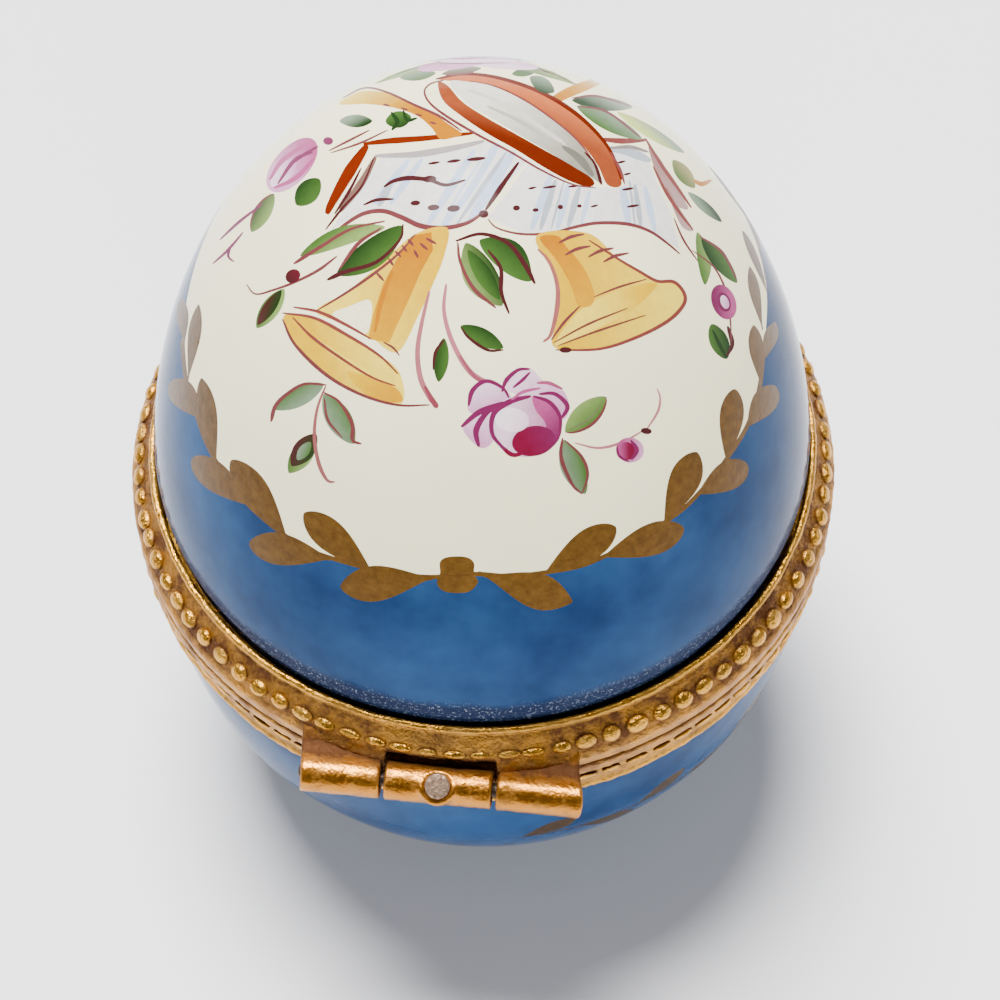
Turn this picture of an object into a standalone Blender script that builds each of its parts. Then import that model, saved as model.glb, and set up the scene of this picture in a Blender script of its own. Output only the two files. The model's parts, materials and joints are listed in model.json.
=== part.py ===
"""A porcelain egg box that opens on a brass hinge.

Metres, +Z up. The origin is the centre of the flat foot. The hinge is on the -Y side, and its
axis runs along X in the plane where the two halves meet.
"""
import math

import bmesh
import bpy

# Driving dimensions of the two porcelain halves
BASE_HEIGHT = 0.0251           # foot to the plane where the halves meet
BASE_RADIUS = 0.0220           # widest part of the base
BASE_GIRDLE_DEPTH = 0.0055     # how far the widest part lies below the meeting plane
BASE_FULLNESS = 2.4            # exponent of the base's outline: 2 is an ellipse, more is fuller
FOOT_RADIUS = 0.0095
LID_HEIGHT = 0.0322
LID_SETBACK = 0.0007           # how much narrower the lid is than the base
BASE_TUCK = 0.0007             # how far the base draws in to enter its rim
LID_TUCK = 0.00055             # how far the lid draws in to enter its rim
WALL = 0.0020
NECK_BLEND = 0.0022            # height over which the neck swells into the body

# Driving dimensions of the brass rims
RIM_WALL = 0.0013              # from the base rim's bore out to the land
LAND_HEIGHT = 0.00115          # the flat land on each side of the meeting plane
LID_RIM_HEIGHT = 0.0037
BASE_RIM_HEIGHT = 0.0036
CHANNEL_DEPTH = 0.0003         # how far the beaded channel lies below the land
FILLET_WIDTH = 0.0005          # the thin fillet at each rim's free edge
LEDGE_WIDTH = 0.0019           # inward ledge that the porcelain's edge stands on
LEDGE_THICKNESS = 0.0006

# Driving dimensions of the hinge
BARREL_STANDOFF = 0.0005       # from the land out to the hinge's axis
BARREL_RADIUS = 0.0012
MIDDLE_KNUCKLE = 0.0066        # length of the knuckle that belongs to the base
OUTER_KNUCKLE = 0.0050         # length of each knuckle that belongs to the lid
LEAF_REACH = 0.0030            # how far a leaf runs from the hinge's axis into its rim
LEAF_RISE = 0.0022             # height of a leaf where it meets its rim
PIN_RADIUS = 0.00045
PIN_OVERHANG = 0.0001
RIVET_RADIUS = 0.0008
RIVET_THICKNESS = 0.00025
RIVET_FLOOR = 0.00015          # metal left between the pin's bore and the rivet's flat
RIVET_TILT = math.radians(30)  # leans outward from straight up

# Fits and facets
GAP = 0.0003                   # clearance between pieces that touch
PORCELAIN_STEPS = 48
RIM_STEPS = 72
BARREL_SIDES = 20

# Values that follow from the dimensions above
MEETING_Z = BASE_HEIGHT
LID_RADIUS = BASE_RADIUS - LID_SETBACK
BASE_NECK_RADIUS = BASE_RADIUS - BASE_TUCK
LID_NECK_RADIUS = LID_RADIUS - LID_TUCK
SEAT_DEPTH = GAP / 2 + LEDGE_THICKNESS + GAP
LID_BORE = LID_NECK_RADIUS + GAP
BASE_BORE = BASE_NECK_RADIUS + GAP
RIM_RADIUS = BASE_BORE + RIM_WALL
LID_FILLET_RADIUS = LID_BORE + FILLET_WIDTH
BASE_FILLET_RADIUS = RIM_RADIUS - CHANNEL_DEPTH / 2
HINGE_OFFSET = RIM_RADIUS + BARREL_STANDOFF
RIVET_FLAT = PIN_RADIUS + GAP + RIVET_FLOOR
RIVET_TOP = RIVET_FLAT + GAP + RIVET_THICKNESS
MIDDLE_SWEEP = math.hypot(RIVET_RADIUS, RIVET_TOP) + GAP
HINGE_HALF_LENGTH = MIDDLE_KNUCKLE / 2 + GAP + OUTER_KNUCKLE
# The base's curve would close below the foot: its full depth follows from the foot's radius
FOOT_SHARE = (1 - (FOOT_RADIUS / BASE_RADIUS) ** BASE_FULLNESS) ** (1 / BASE_FULLNESS)
BASE_FULL_DEPTH = BASE_GIRDLE_DEPTH + (BASE_HEIGHT - BASE_GIRDLE_DEPTH) / FOOT_SHARE


def collection(name):
    made = bpy.data.collections.new(name)
    bpy.context.scene.collection.children.link(made)
    return made


def material(name, colour, roughness, metallic):
    made = bpy.data.materials.new(name)
    made.use_nodes = True
    shader = made.node_tree.nodes["Principled BSDF"]
    shader.inputs["Base Color"].default_value = (*colour, 1.0)
    shader.inputs["Roughness"].default_value = roughness
    shader.inputs["Metallic"].default_value = metallic
    return made


def turned(name, profile, steps, closed, where):
    """Turn a profile of (radius, height) points round Z, running down its outer side."""
    mesh = bpy.data.meshes.new(name)
    edges = [(i, i + 1) for i in range(len(profile) - 1)]
    if closed:
        edges.append((len(profile) - 1, 0))
    mesh.from_pydata([(radius, 0.0, height) for radius, height in profile], edges, [])
    made = bpy.data.objects.new(name, mesh)
    where.objects.link(made)
    screw = made.modifiers.new("Screw", "SCREW")
    screw.axis = "Z"
    screw.steps = steps
    screw.render_steps = steps
    screw.use_merge_vertices = True
    screw.merge_threshold = 0.00005
    screw.use_smooth_shade = True
    return made


def rod(name, radius, x_start, x_end, sides, where):
    """A round bar along the hinge's axis."""
    bpy.ops.mesh.primitive_cylinder_add(
        vertices=sides, radius=radius, depth=x_end - x_start,
        location=((x_start + x_end) / 2, -HINGE_OFFSET, MEETING_Z), rotation=(0, math.pi / 2, 0))
    made = bpy.context.object
    made.name = name
    for old in list(made.users_collection):
        old.objects.unlink(made)
    where.objects.link(made)
    made.data.shade_smooth()
    made.data.set_sharp_from_angle(angle=math.radians(40))
    return made


def bar(name, outline, x_start, x_end, where):
    """Extrude an outline of (y, z) points along X."""
    shape = bmesh.new()
    corners = [shape.verts.new((x_start, y, z)) for y, z in outline]
    face = shape.faces.new(corners)
    grown = bmesh.ops.extrude_face_region(shape, geom=[face])
    moved = [item for item in grown["geom"] if isinstance(item, bmesh.types.BMVert)]
    bmesh.ops.translate(shape, verts=moved, vec=(x_end - x_start, 0, 0))
    bmesh.ops.recalc_face_normals(shape, faces=shape.faces)
    mesh = bpy.data.meshes.new(name)
    shape.to_mesh(mesh)
    shape.free()
    made = bpy.data.objects.new(name, mesh)
    where.objects.link(made)
    return made


def boolean(target, operation, other):
    step = target.modifiers.new(operation.title(), "BOOLEAN")
    step.operation = operation
    step.solver = "EXACT"
    step.object = other


def lid_outline(depth):
    """Outer radius of the lid at a height above the meeting plane."""
    body = LID_RADIUS * math.sqrt(1 - (depth / LID_HEIGHT) ** 2)
    start = LID_RIM_HEIGHT + GAP
    blend = min(max((depth - start) / NECK_BLEND, 0.0), 1.0)
    ease = math.sqrt(1 - (1 - blend) ** 2)
    return LID_NECK_RADIUS + (body - LID_NECK_RADIUS) * ease


def base_outline(depth):
    """Outer radius of the base at a depth below the meeting plane."""
    share = max(depth - BASE_GIRDLE_DEPTH, 0.0) / (BASE_FULL_DEPTH - BASE_GIRDLE_DEPTH)
    body = BASE_RADIUS * (1 - share ** BASE_FULLNESS) ** (1 / BASE_FULLNESS)
    start = BASE_RIM_HEIGHT + GAP
    blend = min(max((depth - start) / NECK_BLEND, 0.0), 1.0)
    ease = math.sqrt(1 - (1 - blend) ** 2)
    return BASE_NECK_RADIUS + (body - BASE_NECK_RADIUS) * ease


def ellipse_run(radius, height, count):
    """Points of an inner hollow from its mouth to its crown, as (radius, depth)."""
    angles = [math.pi / 2 * i / count for i in range(count + 1)]
    return [(radius * math.cos(a), height * math.sin(a)) for a in angles[:-1]] + [(0.0, height)]


def lid_profile():
    neck_top = LID_RIM_HEIGHT + GAP
    depths = [LID_HEIGHT * math.cos(math.radians(step)) for step in range(0, 78, 7)]
    body = [d for d in depths if d > neck_top + NECK_BLEND]
    neck = [neck_top + NECK_BLEND * share for share in (1.0, 0.5, 0.15, 0.0)]
    outer = [(0.0, MEETING_Z + LID_HEIGHT)]
    outer += [(lid_outline(d), MEETING_Z + d) for d in body[1:] + neck + [SEAT_DEPTH]]
    hollow = ellipse_run(LID_NECK_RADIUS - WALL, LID_HEIGHT - WALL - SEAT_DEPTH, 10)
    inner = [(radius, MEETING_Z + SEAT_DEPTH + d) for radius, d in hollow]
    return outer + inner


def base_profile():
    neck_top = BASE_RIM_HEIGHT + GAP
    neck = [neck_top + NECK_BLEND * share for share in (0.0, 0.15, 0.5, 1.0)]
    fall = BASE_HEIGHT - neck[-1]
    body = [neck[-1] + fall * math.sin(math.radians(step)) for step in range(10, 90, 10)]
    outer = [(base_outline(d), MEETING_Z - d) for d in [SEAT_DEPTH] + neck + body]
    outer += [(FOOT_RADIUS, 0.0), (0.0, 0.0)]
    hollow = ellipse_run(BASE_NECK_RADIUS - WALL, BASE_HEIGHT - WALL - SEAT_DEPTH, 9)
    inner = [(radius, MEETING_Z - SEAT_DEPTH - d) for radius, d in reversed(hollow)]
    return inner + outer


def rim_section(bore, height, fillet_radius):
    """Half of the mount, as (radius, distance from the meeting plane), from the bore outward."""
    channel = RIM_RADIUS - CHANNEL_DEPTH
    shoulder = fillet_radius - FILLET_WIDTH / 4
    return [
        (bore, height - FILLET_WIDTH / 2),
        (fillet_radius - FILLET_WIDTH * 0.6, height),
        (fillet_radius - FILLET_WIDTH * 0.2, height - FILLET_WIDTH * 0.1),
        (fillet_radius, height - FILLET_WIDTH / 2),
        (shoulder, height - FILLET_WIDTH),
        (channel, LAND_HEIGHT + CHANNEL_DEPTH * 1.5),
        (channel, LAND_HEIGHT + CHANNEL_DEPTH / 2),
        (RIM_RADIUS - CHANNEL_DEPTH / 3, LAND_HEIGHT),
        (RIM_RADIUS, LAND_HEIGHT - CHANNEL_DEPTH / 2),
        (RIM_RADIUS, GAP / 2),
        (bore - LEDGE_WIDTH, GAP / 2),
        (bore - LEDGE_WIDTH, GAP / 2 + LEDGE_THICKNESS),
        (bore, GAP / 2 + LEDGE_THICKNESS),
    ]


def leaf_outline(side):
    """A hinge leaf's section: side is 1 above the meeting plane and -1 below it."""
    run = [
        (0.0, GAP / 2),
        (0.0, BARREL_RADIUS),
        (LEAF_REACH * 0.3, BARREL_RADIUS * 1.05),
        (LEAF_REACH * 0.55, (BARREL_RADIUS + LEAF_RISE) / 2),
        (LEAF_REACH * 0.75, LEAF_RISE),
        (LEAF_REACH, LEAF_RISE),
        (LEAF_REACH, GAP / 2),
    ]
    return [(y - HINGE_OFFSET, MEETING_Z + side * z) for y, z in run]


def knuckle(name, x_start, x_end, side, bore, cutters):
    """A barrel joined to its leaf, which is trimmed to stay outside the porcelain."""
    barrel = rod(name, BARREL_RADIUS, x_start, x_end, BARREL_SIDES, cutters)
    leaf = bar(name + "_leaf", leaf_outline(side), x_start, x_end, cutters)
    core = turned(name + "_core", [(0, BASE_HEIGHT * 1.5), (bore + GAP, BASE_HEIGHT * 1.5),
                                   (bore + GAP, BASE_HEIGHT / 2), (0, BASE_HEIGHT / 2)],
                  RIM_STEPS, False, cutters)
    boolean(leaf, "DIFFERENCE", core)
    boolean(barrel, "UNION", leaf)
    return barrel


for old in list(bpy.data.objects):
    bpy.data.objects.remove(old, do_unlink=True)

parts = collection("egg_trinket_box")
cutters = collection("cutters")

glaze = material("blue_and_white_glaze", (0.16, 0.30, 0.55), 0.15, 0.0)
white_glaze = material("white_glaze", (0.80, 0.79, 0.74), 0.15, 0.0)
gilt = material("gilt_brass", (0.75, 0.52, 0.22), 0.32, 1.0)
steel = material("hinge_pin_steel", (0.35, 0.30, 0.26), 0.45, 1.0)

# Porcelain halves
lid = turned("lid_porcelain", lid_profile(), PORCELAIN_STEPS, False, parts)
base = turned("base_porcelain", base_profile(), PORCELAIN_STEPS, False, parts)
lid.data.materials.append(white_glaze)
base.data.materials.append(glaze)

# Lid rim with the two outer knuckles brazed on, cut away over the middle knuckle
lid_section = rim_section(LID_BORE, LID_RIM_HEIGHT, LID_FILLET_RADIUS)
lid_rim = turned("lid_rim", [(r, MEETING_Z + z) for r, z in lid_section], RIM_STEPS, True, parts)
lid_rim.data.materials.append(gilt)
middle_half = MIDDLE_KNUCKLE / 2
boolean(lid_rim, "DIFFERENCE", rod("middle_sweep", MIDDLE_SWEEP, -middle_half - GAP,
                                   middle_half + GAP, BARREL_SIDES, cutters))
for name, x_start in (("left_knuckle", -HINGE_HALF_LENGTH), ("right_knuckle", middle_half + GAP)):
    boolean(lid_rim, "UNION", knuckle(name, x_start, x_start + OUTER_KNUCKLE, 1, LID_BORE, cutters))

# Base rim with the middle knuckle brazed on, cut away under the outer knuckles
base_section = rim_section(BASE_BORE, BASE_RIM_HEIGHT, BASE_FILLET_RADIUS)
base_rim = turned("base_rim", [(r, MEETING_Z - z) for r, z in reversed(base_section)],
                  RIM_STEPS, True, parts)
base_rim.data.materials.append(gilt)
for name, x_start in (("left_sweep", -HINGE_HALF_LENGTH - GAP), ("right_sweep", middle_half)):
    boolean(base_rim, "DIFFERENCE", rod(name, BARREL_RADIUS + GAP, x_start,
                                        x_start + OUTER_KNUCKLE + 2 * GAP, BARREL_SIDES, cutters))
boolean(base_rim, "UNION", knuckle("middle_knuckle", -middle_half, middle_half, -1, BASE_BORE, cutters))

# The bore for the pin, through all three knuckles
pin_bore = rod("pin_bore", PIN_RADIUS + GAP, -HINGE_HALF_LENGTH - GAP, HINGE_HALF_LENGTH + GAP,
               BARREL_SIDES, cutters)
boolean(lid_rim, "DIFFERENCE", pin_bore)
boolean(base_rim, "DIFFERENCE", pin_bore)

# A flat on the middle knuckle, and the rivet that sits on it
rivet_way = (0.0, -math.sin(RIVET_TILT), math.cos(RIVET_TILT))


def rivet_disc(name, radius, level, thickness, where):
    middle = level + thickness / 2
    bpy.ops.mesh.primitive_cylinder_add(
        vertices=BARREL_SIDES, radius=radius, depth=thickness,
        location=(0.0, rivet_way[1] * middle - HINGE_OFFSET, MEETING_Z + rivet_way[2] * middle),
        rotation=(RIVET_TILT, 0, 0))
    made = bpy.context.object
    made.name = name
    for old in list(made.users_collection):
        old.objects.unlink(made)
    where.objects.link(made)
    return made


boolean(base_rim, "DIFFERENCE",
        rivet_disc("rivet_flat", RIVET_RADIUS + GAP, RIVET_FLAT, BARREL_RADIUS, cutters))
rivet = rivet_disc("hinge_rivet", RIVET_RADIUS, RIVET_FLAT + GAP, RIVET_THICKNESS, parts)
rivet.data.materials.append(steel)

pin = rod("hinge_pin", PIN_RADIUS, -HINGE_HALF_LENGTH - PIN_OVERHANG,
          HINGE_HALF_LENGTH + PIN_OVERHANG, BARREL_SIDES, parts)
pin.data.materials.append(steel)

for cutter in cutters.objects:
    cutter.hide_render = True
    cutter.display_type = "WIRE"
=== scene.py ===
import json
import math

import bmesh
import bpy
import numpy as np
from mathutils import Matrix, Vector
from mathutils.geometry import delaunay_2d_cdt
from mathutils.noise import fractal


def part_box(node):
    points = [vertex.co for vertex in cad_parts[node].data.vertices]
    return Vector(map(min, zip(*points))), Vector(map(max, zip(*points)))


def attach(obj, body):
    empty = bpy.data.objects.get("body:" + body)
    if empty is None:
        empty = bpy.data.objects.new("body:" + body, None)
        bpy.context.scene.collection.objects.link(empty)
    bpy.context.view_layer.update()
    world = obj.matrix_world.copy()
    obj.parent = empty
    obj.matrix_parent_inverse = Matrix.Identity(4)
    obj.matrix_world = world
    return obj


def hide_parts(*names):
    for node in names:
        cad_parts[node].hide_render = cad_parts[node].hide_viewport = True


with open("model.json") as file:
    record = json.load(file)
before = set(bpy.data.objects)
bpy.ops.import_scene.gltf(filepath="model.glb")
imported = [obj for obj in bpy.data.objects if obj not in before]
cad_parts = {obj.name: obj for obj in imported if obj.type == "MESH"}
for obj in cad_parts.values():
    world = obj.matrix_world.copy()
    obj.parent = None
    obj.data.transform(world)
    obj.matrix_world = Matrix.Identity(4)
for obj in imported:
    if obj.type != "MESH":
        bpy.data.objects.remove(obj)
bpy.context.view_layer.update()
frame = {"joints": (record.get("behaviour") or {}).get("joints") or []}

hinge = frame["joints"][0]["pos_m"]
HINGE_Y = hinge[1]
MEETING_Z = hinge[2]           # height of the plane where the two halves meet

# The view: the camera stands on the hinge's side and looks steeply down on the egg, as the
# photograph was taken. The lid's painting is laid out in this view and carried onto the glaze.
CAMERA_PLACE = Vector((0.01367, -0.09745, 0.18049))
CAMERA_TARGET = Vector((0.00131, -0.00186, 0.02384))
CAMERA_ROLL = math.radians(-1.05)
CAMERA_LENS = 100.8
SENSOR_WIDTH = 36.0
PICTURE = 1000.0               # the picture's width and height in pixels

camera_data = bpy.data.cameras.new("photo_view")
camera_data.lens = CAMERA_LENS
camera_data.sensor_width = SENSOR_WIDTH
camera_data.clip_start = 0.01
camera = bpy.data.objects.new("photo_view", camera_data)
bpy.context.scene.collection.objects.link(camera)
bpy.context.scene.camera = camera
away = (CAMERA_PLACE - CAMERA_TARGET).normalized()
level = Vector((0, 0, 1)).cross(away).normalized()
rise = away.cross(level)
camera_right = level * math.cos(CAMERA_ROLL) + rise * math.sin(CAMERA_ROLL)
camera_up = rise * math.cos(CAMERA_ROLL) - level * math.sin(CAMERA_ROLL)
camera_turn = Matrix((camera_right, camera_up, away)).transposed().to_4x4()
camera.matrix_world = Matrix.Translation(CAMERA_PLACE) @ camera_turn

# The lid's porcelain: the taller half of the egg, slip cast about 2 mm thick, glazed all over
# and painted by hand. The pieces of the painting are laid over each other in a plane and cut
# into one net of triangles, which is then wrapped round the egg, so their edges stay sharp.
LID_RADIUS = 0.0213
LID_NECK_RADIUS = 0.02075      # where the lid tucks into its rim
WALL = 0.0020
NECK_BLEND = 0.0022
SEAT_DEPTH = 0.00105           # from the meeting plane to the porcelain's edge
GAP = 0.0003
LID_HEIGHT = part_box("lid_porcelain")[1].z - MEETING_Z
LID_RIM_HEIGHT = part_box("lid_rim")[1].z - MEETING_Z
GROUND_SPACING = 0.00042       # between the net's points on plain glaze
FINE_SPACING = 0.00019         # and where pieces of the painting need soft shading
TURN_STEPS = 288
LEAN = 0.035                   # the real lid leans to the right in its rim by this slope
LEAN_ROW = 480.0               # picture row below which the lean isn't seen


DEEPEN = 1.16                  # the soft tone curve of the picture calls for deeper colours


def linear(red, green, blue):
    """A colour read on a screen, as the paint that shows it in this light."""
    parts = [value / 255 for value in (red, green, blue)]
    light = [p / 12.92 if p <= 0.04045 else ((p + 0.055) / 1.055) ** 2.4 for p in parts]
    return tuple(0.88 * value ** DEEPEN for value in light)


WHITE = (0.84, 0.775, 0.51)
BLUE = linear(31, 68, 112)
LEAF_GOLD = linear(104, 77, 35)
GREEN = linear(78, 110, 54)
DARK_GREEN = linear(42, 66, 34)
PALE_GREEN = linear(132, 156, 92)
GREY_GREEN = linear(128, 146, 122)
OUTLINE = linear(118, 66, 68)
DARK_OUTLINE = linear(82, 42, 44)
PUCE = linear(122, 46, 88)
PINK = linear(206, 152, 186)
PALE_PINK = linear(226, 198, 214)
ROSE = linear(172, 84, 132)
CRIMSON = linear(124, 30, 62)
YELLOW = (0.58, 0.335, 0.0)
PALE_YELLOW = (0.72, 0.52, 0.05)
ORANGE = (0.38, 0.13, 0.0)
DEEP_YELLOW = (0.50, 0.235, 0.0)
TERRACOTTA = linear(120, 44, 20)
PALE_TERRACOTTA = linear(192, 112, 70)
SKIN_PALE = linear(222, 218, 204)
SKIN_GREY = linear(150, 148, 134)
PAGE = linear(228, 226, 222)
PAGE_BLUE = linear(190, 204, 226)
PAGE_GREY = linear(172, 178, 184)


class Porcelain:
    """A turned surface that is painted on: its outline, its plane, and the layers of paint."""

    def __init__(self, radii, heights):
        self.radii, self.heights = np.array(radii), np.array(heights)
        steps = np.hypot(np.diff(self.radii), np.diff(self.heights))
        middles = (self.radii[1:] + self.radii[:-1]) / 2
        growth = np.concatenate([[0.0], np.cumsum(steps / middles)])
        self.reach = self.radii[0] * np.exp(growth)
        self.layers = []

    def plane(self, azimuth, height):
        """Azimuth (from the hinge towards +X) and height, as a point of the plane."""
        order = np.argsort(self.heights)
        reach = np.interp(height, self.heights[order], self.reach[order])
        return np.stack([reach * np.sin(azimuth), -reach * np.cos(azimuth)], -1)

    def wrap(self, flat):
        """A point of the plane, as a place on the porcelain."""
        reach = np.maximum(np.hypot(flat[:, 0], flat[:, 1]), 1e-9)
        radius = np.interp(reach, self.reach, self.radii)
        height = np.interp(reach, self.reach, self.heights)
        radius = np.where(reach < self.reach[0], reach, radius)
        return np.stack([flat[:, 0] / reach * radius, flat[:, 1] / reach * radius, height], 1)

    def lay(self, outline, first, second=None, start=None, end=None, gold=0.0, paint=1.0, fine=False):
        """One piece of paint: its outline in the plane, and a blend of two colours."""
        turning = np.sum(outline[:, 0] * np.roll(outline[:, 1], -1)
                         - outline[:, 1] * np.roll(outline[:, 0], -1))
        outline = outline if turning > 0 else outline[::-1]
        second = first if second is None else second
        start = outline[0] if start is None else start
        end = outline[len(outline) // 2] if end is None else end
        self.layers.append((outline, np.array(first), np.array(second), start, end, gold, paint, fine))

    def net(self, edge_steps, spacing, ground):
        """Cut all layers into one net. Returns places, triangles, colours and finishes."""
        edge = self.reach[-1]
        turn = np.arange(edge_steps) * 2 * math.pi / edge_steps
        points = [np.stack([np.sin(turn), -np.cos(turn)], 1) * edge]
        run = np.concatenate([[0], np.cumsum(np.hypot(np.diff(self.radii), np.diff(self.heights)))])
        for step, length in enumerate(np.arange(0, run[-1] - spacing * 0.7, spacing * 0.87)):
            reach = np.interp(length, run, self.reach)
            count = max(int(2 * math.pi * np.interp(length, run, self.radii) / spacing), 1)
            spread = (np.arange(count) + 0.5 * (step % 2)) * 2 * math.pi / count
            points.append(np.stack([np.sin(spread), -np.cos(spread)], 1) * reach)
        for outline, *_, fine in self.layers:
            if fine:
                low, high = outline.min(0), outline.max(0)
                middle = (low + high) / 2
                reach = np.hypot(*middle)
                pitch = FINE_SPACING * reach / max(np.interp(reach, self.reach, self.radii), 1e-6)
                across, up = np.meshgrid(np.arange(low[0], high[0], pitch),
                                         np.arange(low[1], high[1], pitch * 0.87))
                across[::2] += pitch / 2
                points.append(np.stack([across.ravel(), up.ravel()], 1))
        points = np.concatenate(points)
        faces = []
        for outline, *_ in self.layers:
            faces.append(list(range(len(points), len(points) + len(outline))))
            points = np.concatenate([points, outline])
        in_mm = [Vector(point) for point in points * 1000]
        flat, _, triangles, _, _, owners = delaunay_2d_cdt(in_mm, [], faces, 0, 1e-5)
        flat = np.array([tuple(point) for point in flat]) / 1000
        triangles = np.array(triangles)
        top = np.array([max(owner) if owner else -1 for owner in owners])
        colours = np.tile(np.array((*ground, 1.0)), (len(triangles), 3, 1))
        finishes = np.tile(np.array((0.0, 1.0, 0.0, 1.0)), (len(triangles), 3, 1))
        for number, (_, first, second, start, end, gold, paint, _) in enumerate(self.layers):
            chosen = top == number
            where = flat[triangles[chosen]]
            way = end - start
            share = ((where - start) @ way / max(way @ way, 1e-12)).clip(0, 1)[..., None]
            colours[chosen, :, :3] = first * (1 - share) + second * share
            finishes[chosen] = (gold, 0.0, paint, 1.0)
        return self.wrap(flat), triangles, colours, finishes

    def body(self, name, rows, spacing, ground):
        """The whole wall: the painted outside, then rows of rings round the edge and inside."""
        places, triangles, colours, finishes = self.net(TURN_STEPS, spacing, ground)
        shape = bmesh.new()
        paint_layer = shape.loops.layers.float_color.new("paint")
        finish_layer = shape.loops.layers.float_color.new("finish")
        points = [shape.verts.new(place) for place in places]
        for corners, tints, marks in zip(triangles, colours, finishes):
            face = shape.faces.new([points[corner] for corner in corners])
            for loop, tint, mark in zip(face.loops, tints, marks):
                loop[paint_layer] = tint
                loop[finish_layer] = mark
        turn = np.arange(TURN_STEPS) * 2 * math.pi / TURN_STEPS
        rings = []
        for radius, height, _ in rows:
            spots = [(radius * math.sin(a), -radius * math.cos(a), height) for a in turn]
            rings.append([shape.verts.new(spot) for spot in spots])
        centre = shape.verts.new((0, 0, rows[-1][1]))
        for (_, _, look), above, below in zip(rows[1:], rings, rings[1:]):
            for step in range(TURN_STEPS):
                after = (step + 1) % TURN_STEPS
                face = shape.faces.new((above[step], above[after], below[after], below[step]))
                for loop in face.loops:
                    loop[paint_layer], loop[finish_layer] = look
        for step in range(TURN_STEPS):
            face = shape.faces.new((rings[-1][step], rings[-1][(step + 1) % TURN_STEPS], centre))
            for loop in face.loops:
                loop[paint_layer], loop[finish_layer] = rows[-1][2]
        bmesh.ops.remove_doubles(shape, verts=shape.verts, dist=2e-7)
        bmesh.ops.recalc_face_normals(shape, faces=shape.faces)
        for face in shape.faces:
            face.smooth = True
        mesh = bpy.data.meshes.new(name)
        shape.to_mesh(mesh)
        shape.free()
        made = bpy.data.objects.new(name, mesh)
        bpy.context.scene.collection.objects.link(made)
        return made


PAINTED = 0.0                  # finish marks: gold, blue ground, pigment, always one
PLAIN_LOOK = ((*WHITE, 1.0), (0.0, 0.0, 0.0, 1.0))
BLUE_LOOK = ((*BLUE, 1.0), (0.0, 1.0, 0.0, 1.0))


def lid_radius(height):
    body = LID_RADIUS * math.sqrt(max(1 - (height / LID_HEIGHT) ** 2, 0.0))
    blend = min(max((height - LID_RIM_HEIGHT - GAP) / NECK_BLEND, 0.0), 1.0)
    return LID_NECK_RADIUS + (body - LID_NECK_RADIUS) * math.sqrt(1 - (1 - blend) ** 2)


NECK_TOP = LID_RIM_HEIGHT + GAP
lid_heights = [LID_HEIGHT * math.cos(a) for a in np.linspace(0.004, math.acos(6.2e-3 / LID_HEIGHT), 300)]
lid_heights += list(np.linspace(6.15e-3, NECK_TOP, 40))
lid_wall = Porcelain([lid_radius(h) for h in lid_heights], [MEETING_Z + h for h in lid_heights])


def seen(points):
    """Points read in the photograph, carried along the camera's rays onto the lid's plane."""
    spots = np.array(points, float)
    spots[:, 0] -= LEAN * np.maximum(LEAN_ROW - spots[:, 1], 0)
    pixels = CAMERA_LENS / SENSOR_WIDTH * PICTURE
    right, up, back = (np.array(axis) for axis in (camera_right, camera_up, away))
    ways = (np.outer((spots[:, 0] - PICTURE / 2) / pixels, right)
            + np.outer((PICTURE / 2 - spots[:, 1]) / pixels, up) - back)
    squash = 1 / np.array((LID_RADIUS, LID_RADIUS, LID_HEIGHT))
    origin = (np.array(CAMERA_PLACE) - (0, 0, MEETING_Z)) * squash
    ways = ways * squash
    square, half, rest = (ways ** 2).sum(1), ways @ origin, origin @ origin - 1
    reach = (-half - np.sqrt(np.maximum(half ** 2 - square * rest, 0))) / square
    ball = origin + ways * reach[:, None]
    ball /= np.linalg.norm(ball, axis=1)[:, None]
    return lid_wall.plane(np.arctan2(ball[:, 0], -ball[:, 1]), MEETING_Z + ball[:, 2] * LID_HEIGHT)


def smooth_line(points, closed=False, step=2.2):
    """A soft curve through a few points, as a brush would draw it."""
    knots = np.array(points, float)
    ends = (knots[-1:], knots[:2]) if closed else (2 * knots[:1] - knots[1:2], 2 * knots[-1:] - knots[-2:-1])
    knots = np.concatenate([ends[0], knots, ends[1]])
    run = []
    for before, start, end, after in zip(knots, knots[1:], knots[2:], knots[3:]):
        count = max(int(np.linalg.norm(end - start) / step), 1)
        t = (np.arange(count) / count)[:, None]
        run.append(0.5 * (2 * start + (end - before) * t
                          + (2 * before - 5 * start + 4 * end - after) * t ** 2
                          + (3 * start - before - 3 * end + after) * t ** 3))
    if not closed:
        run.append(knots[-2:-1])
    return np.concatenate(run)


def patch(points, first, second=None, start=None, end=None, soft=True, fine=True, carry=seen):
    """A filled area. The blend runs between two points of the picture."""
    outline = smooth_line(points, True) if soft else sharp_line(points)
    way = carry([start or points[0], end or points[len(points) // 2]])
    lid_wall.lay(carry(outline), first, second, way[0], way[1], fine=fine)


def sharp_line(points, step=3.0):
    """Straight edges between corners, with points along them so that they bend with the egg."""
    corners = np.array(points, float)
    run = []
    for start, end in zip(corners, np.roll(corners, -1, 0)):
        count = max(int(np.linalg.norm(end - start) / step), 1)
        run.append(start + (end - start) * (np.arange(count) / count)[:, None])
    return np.concatenate(run)


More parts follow.
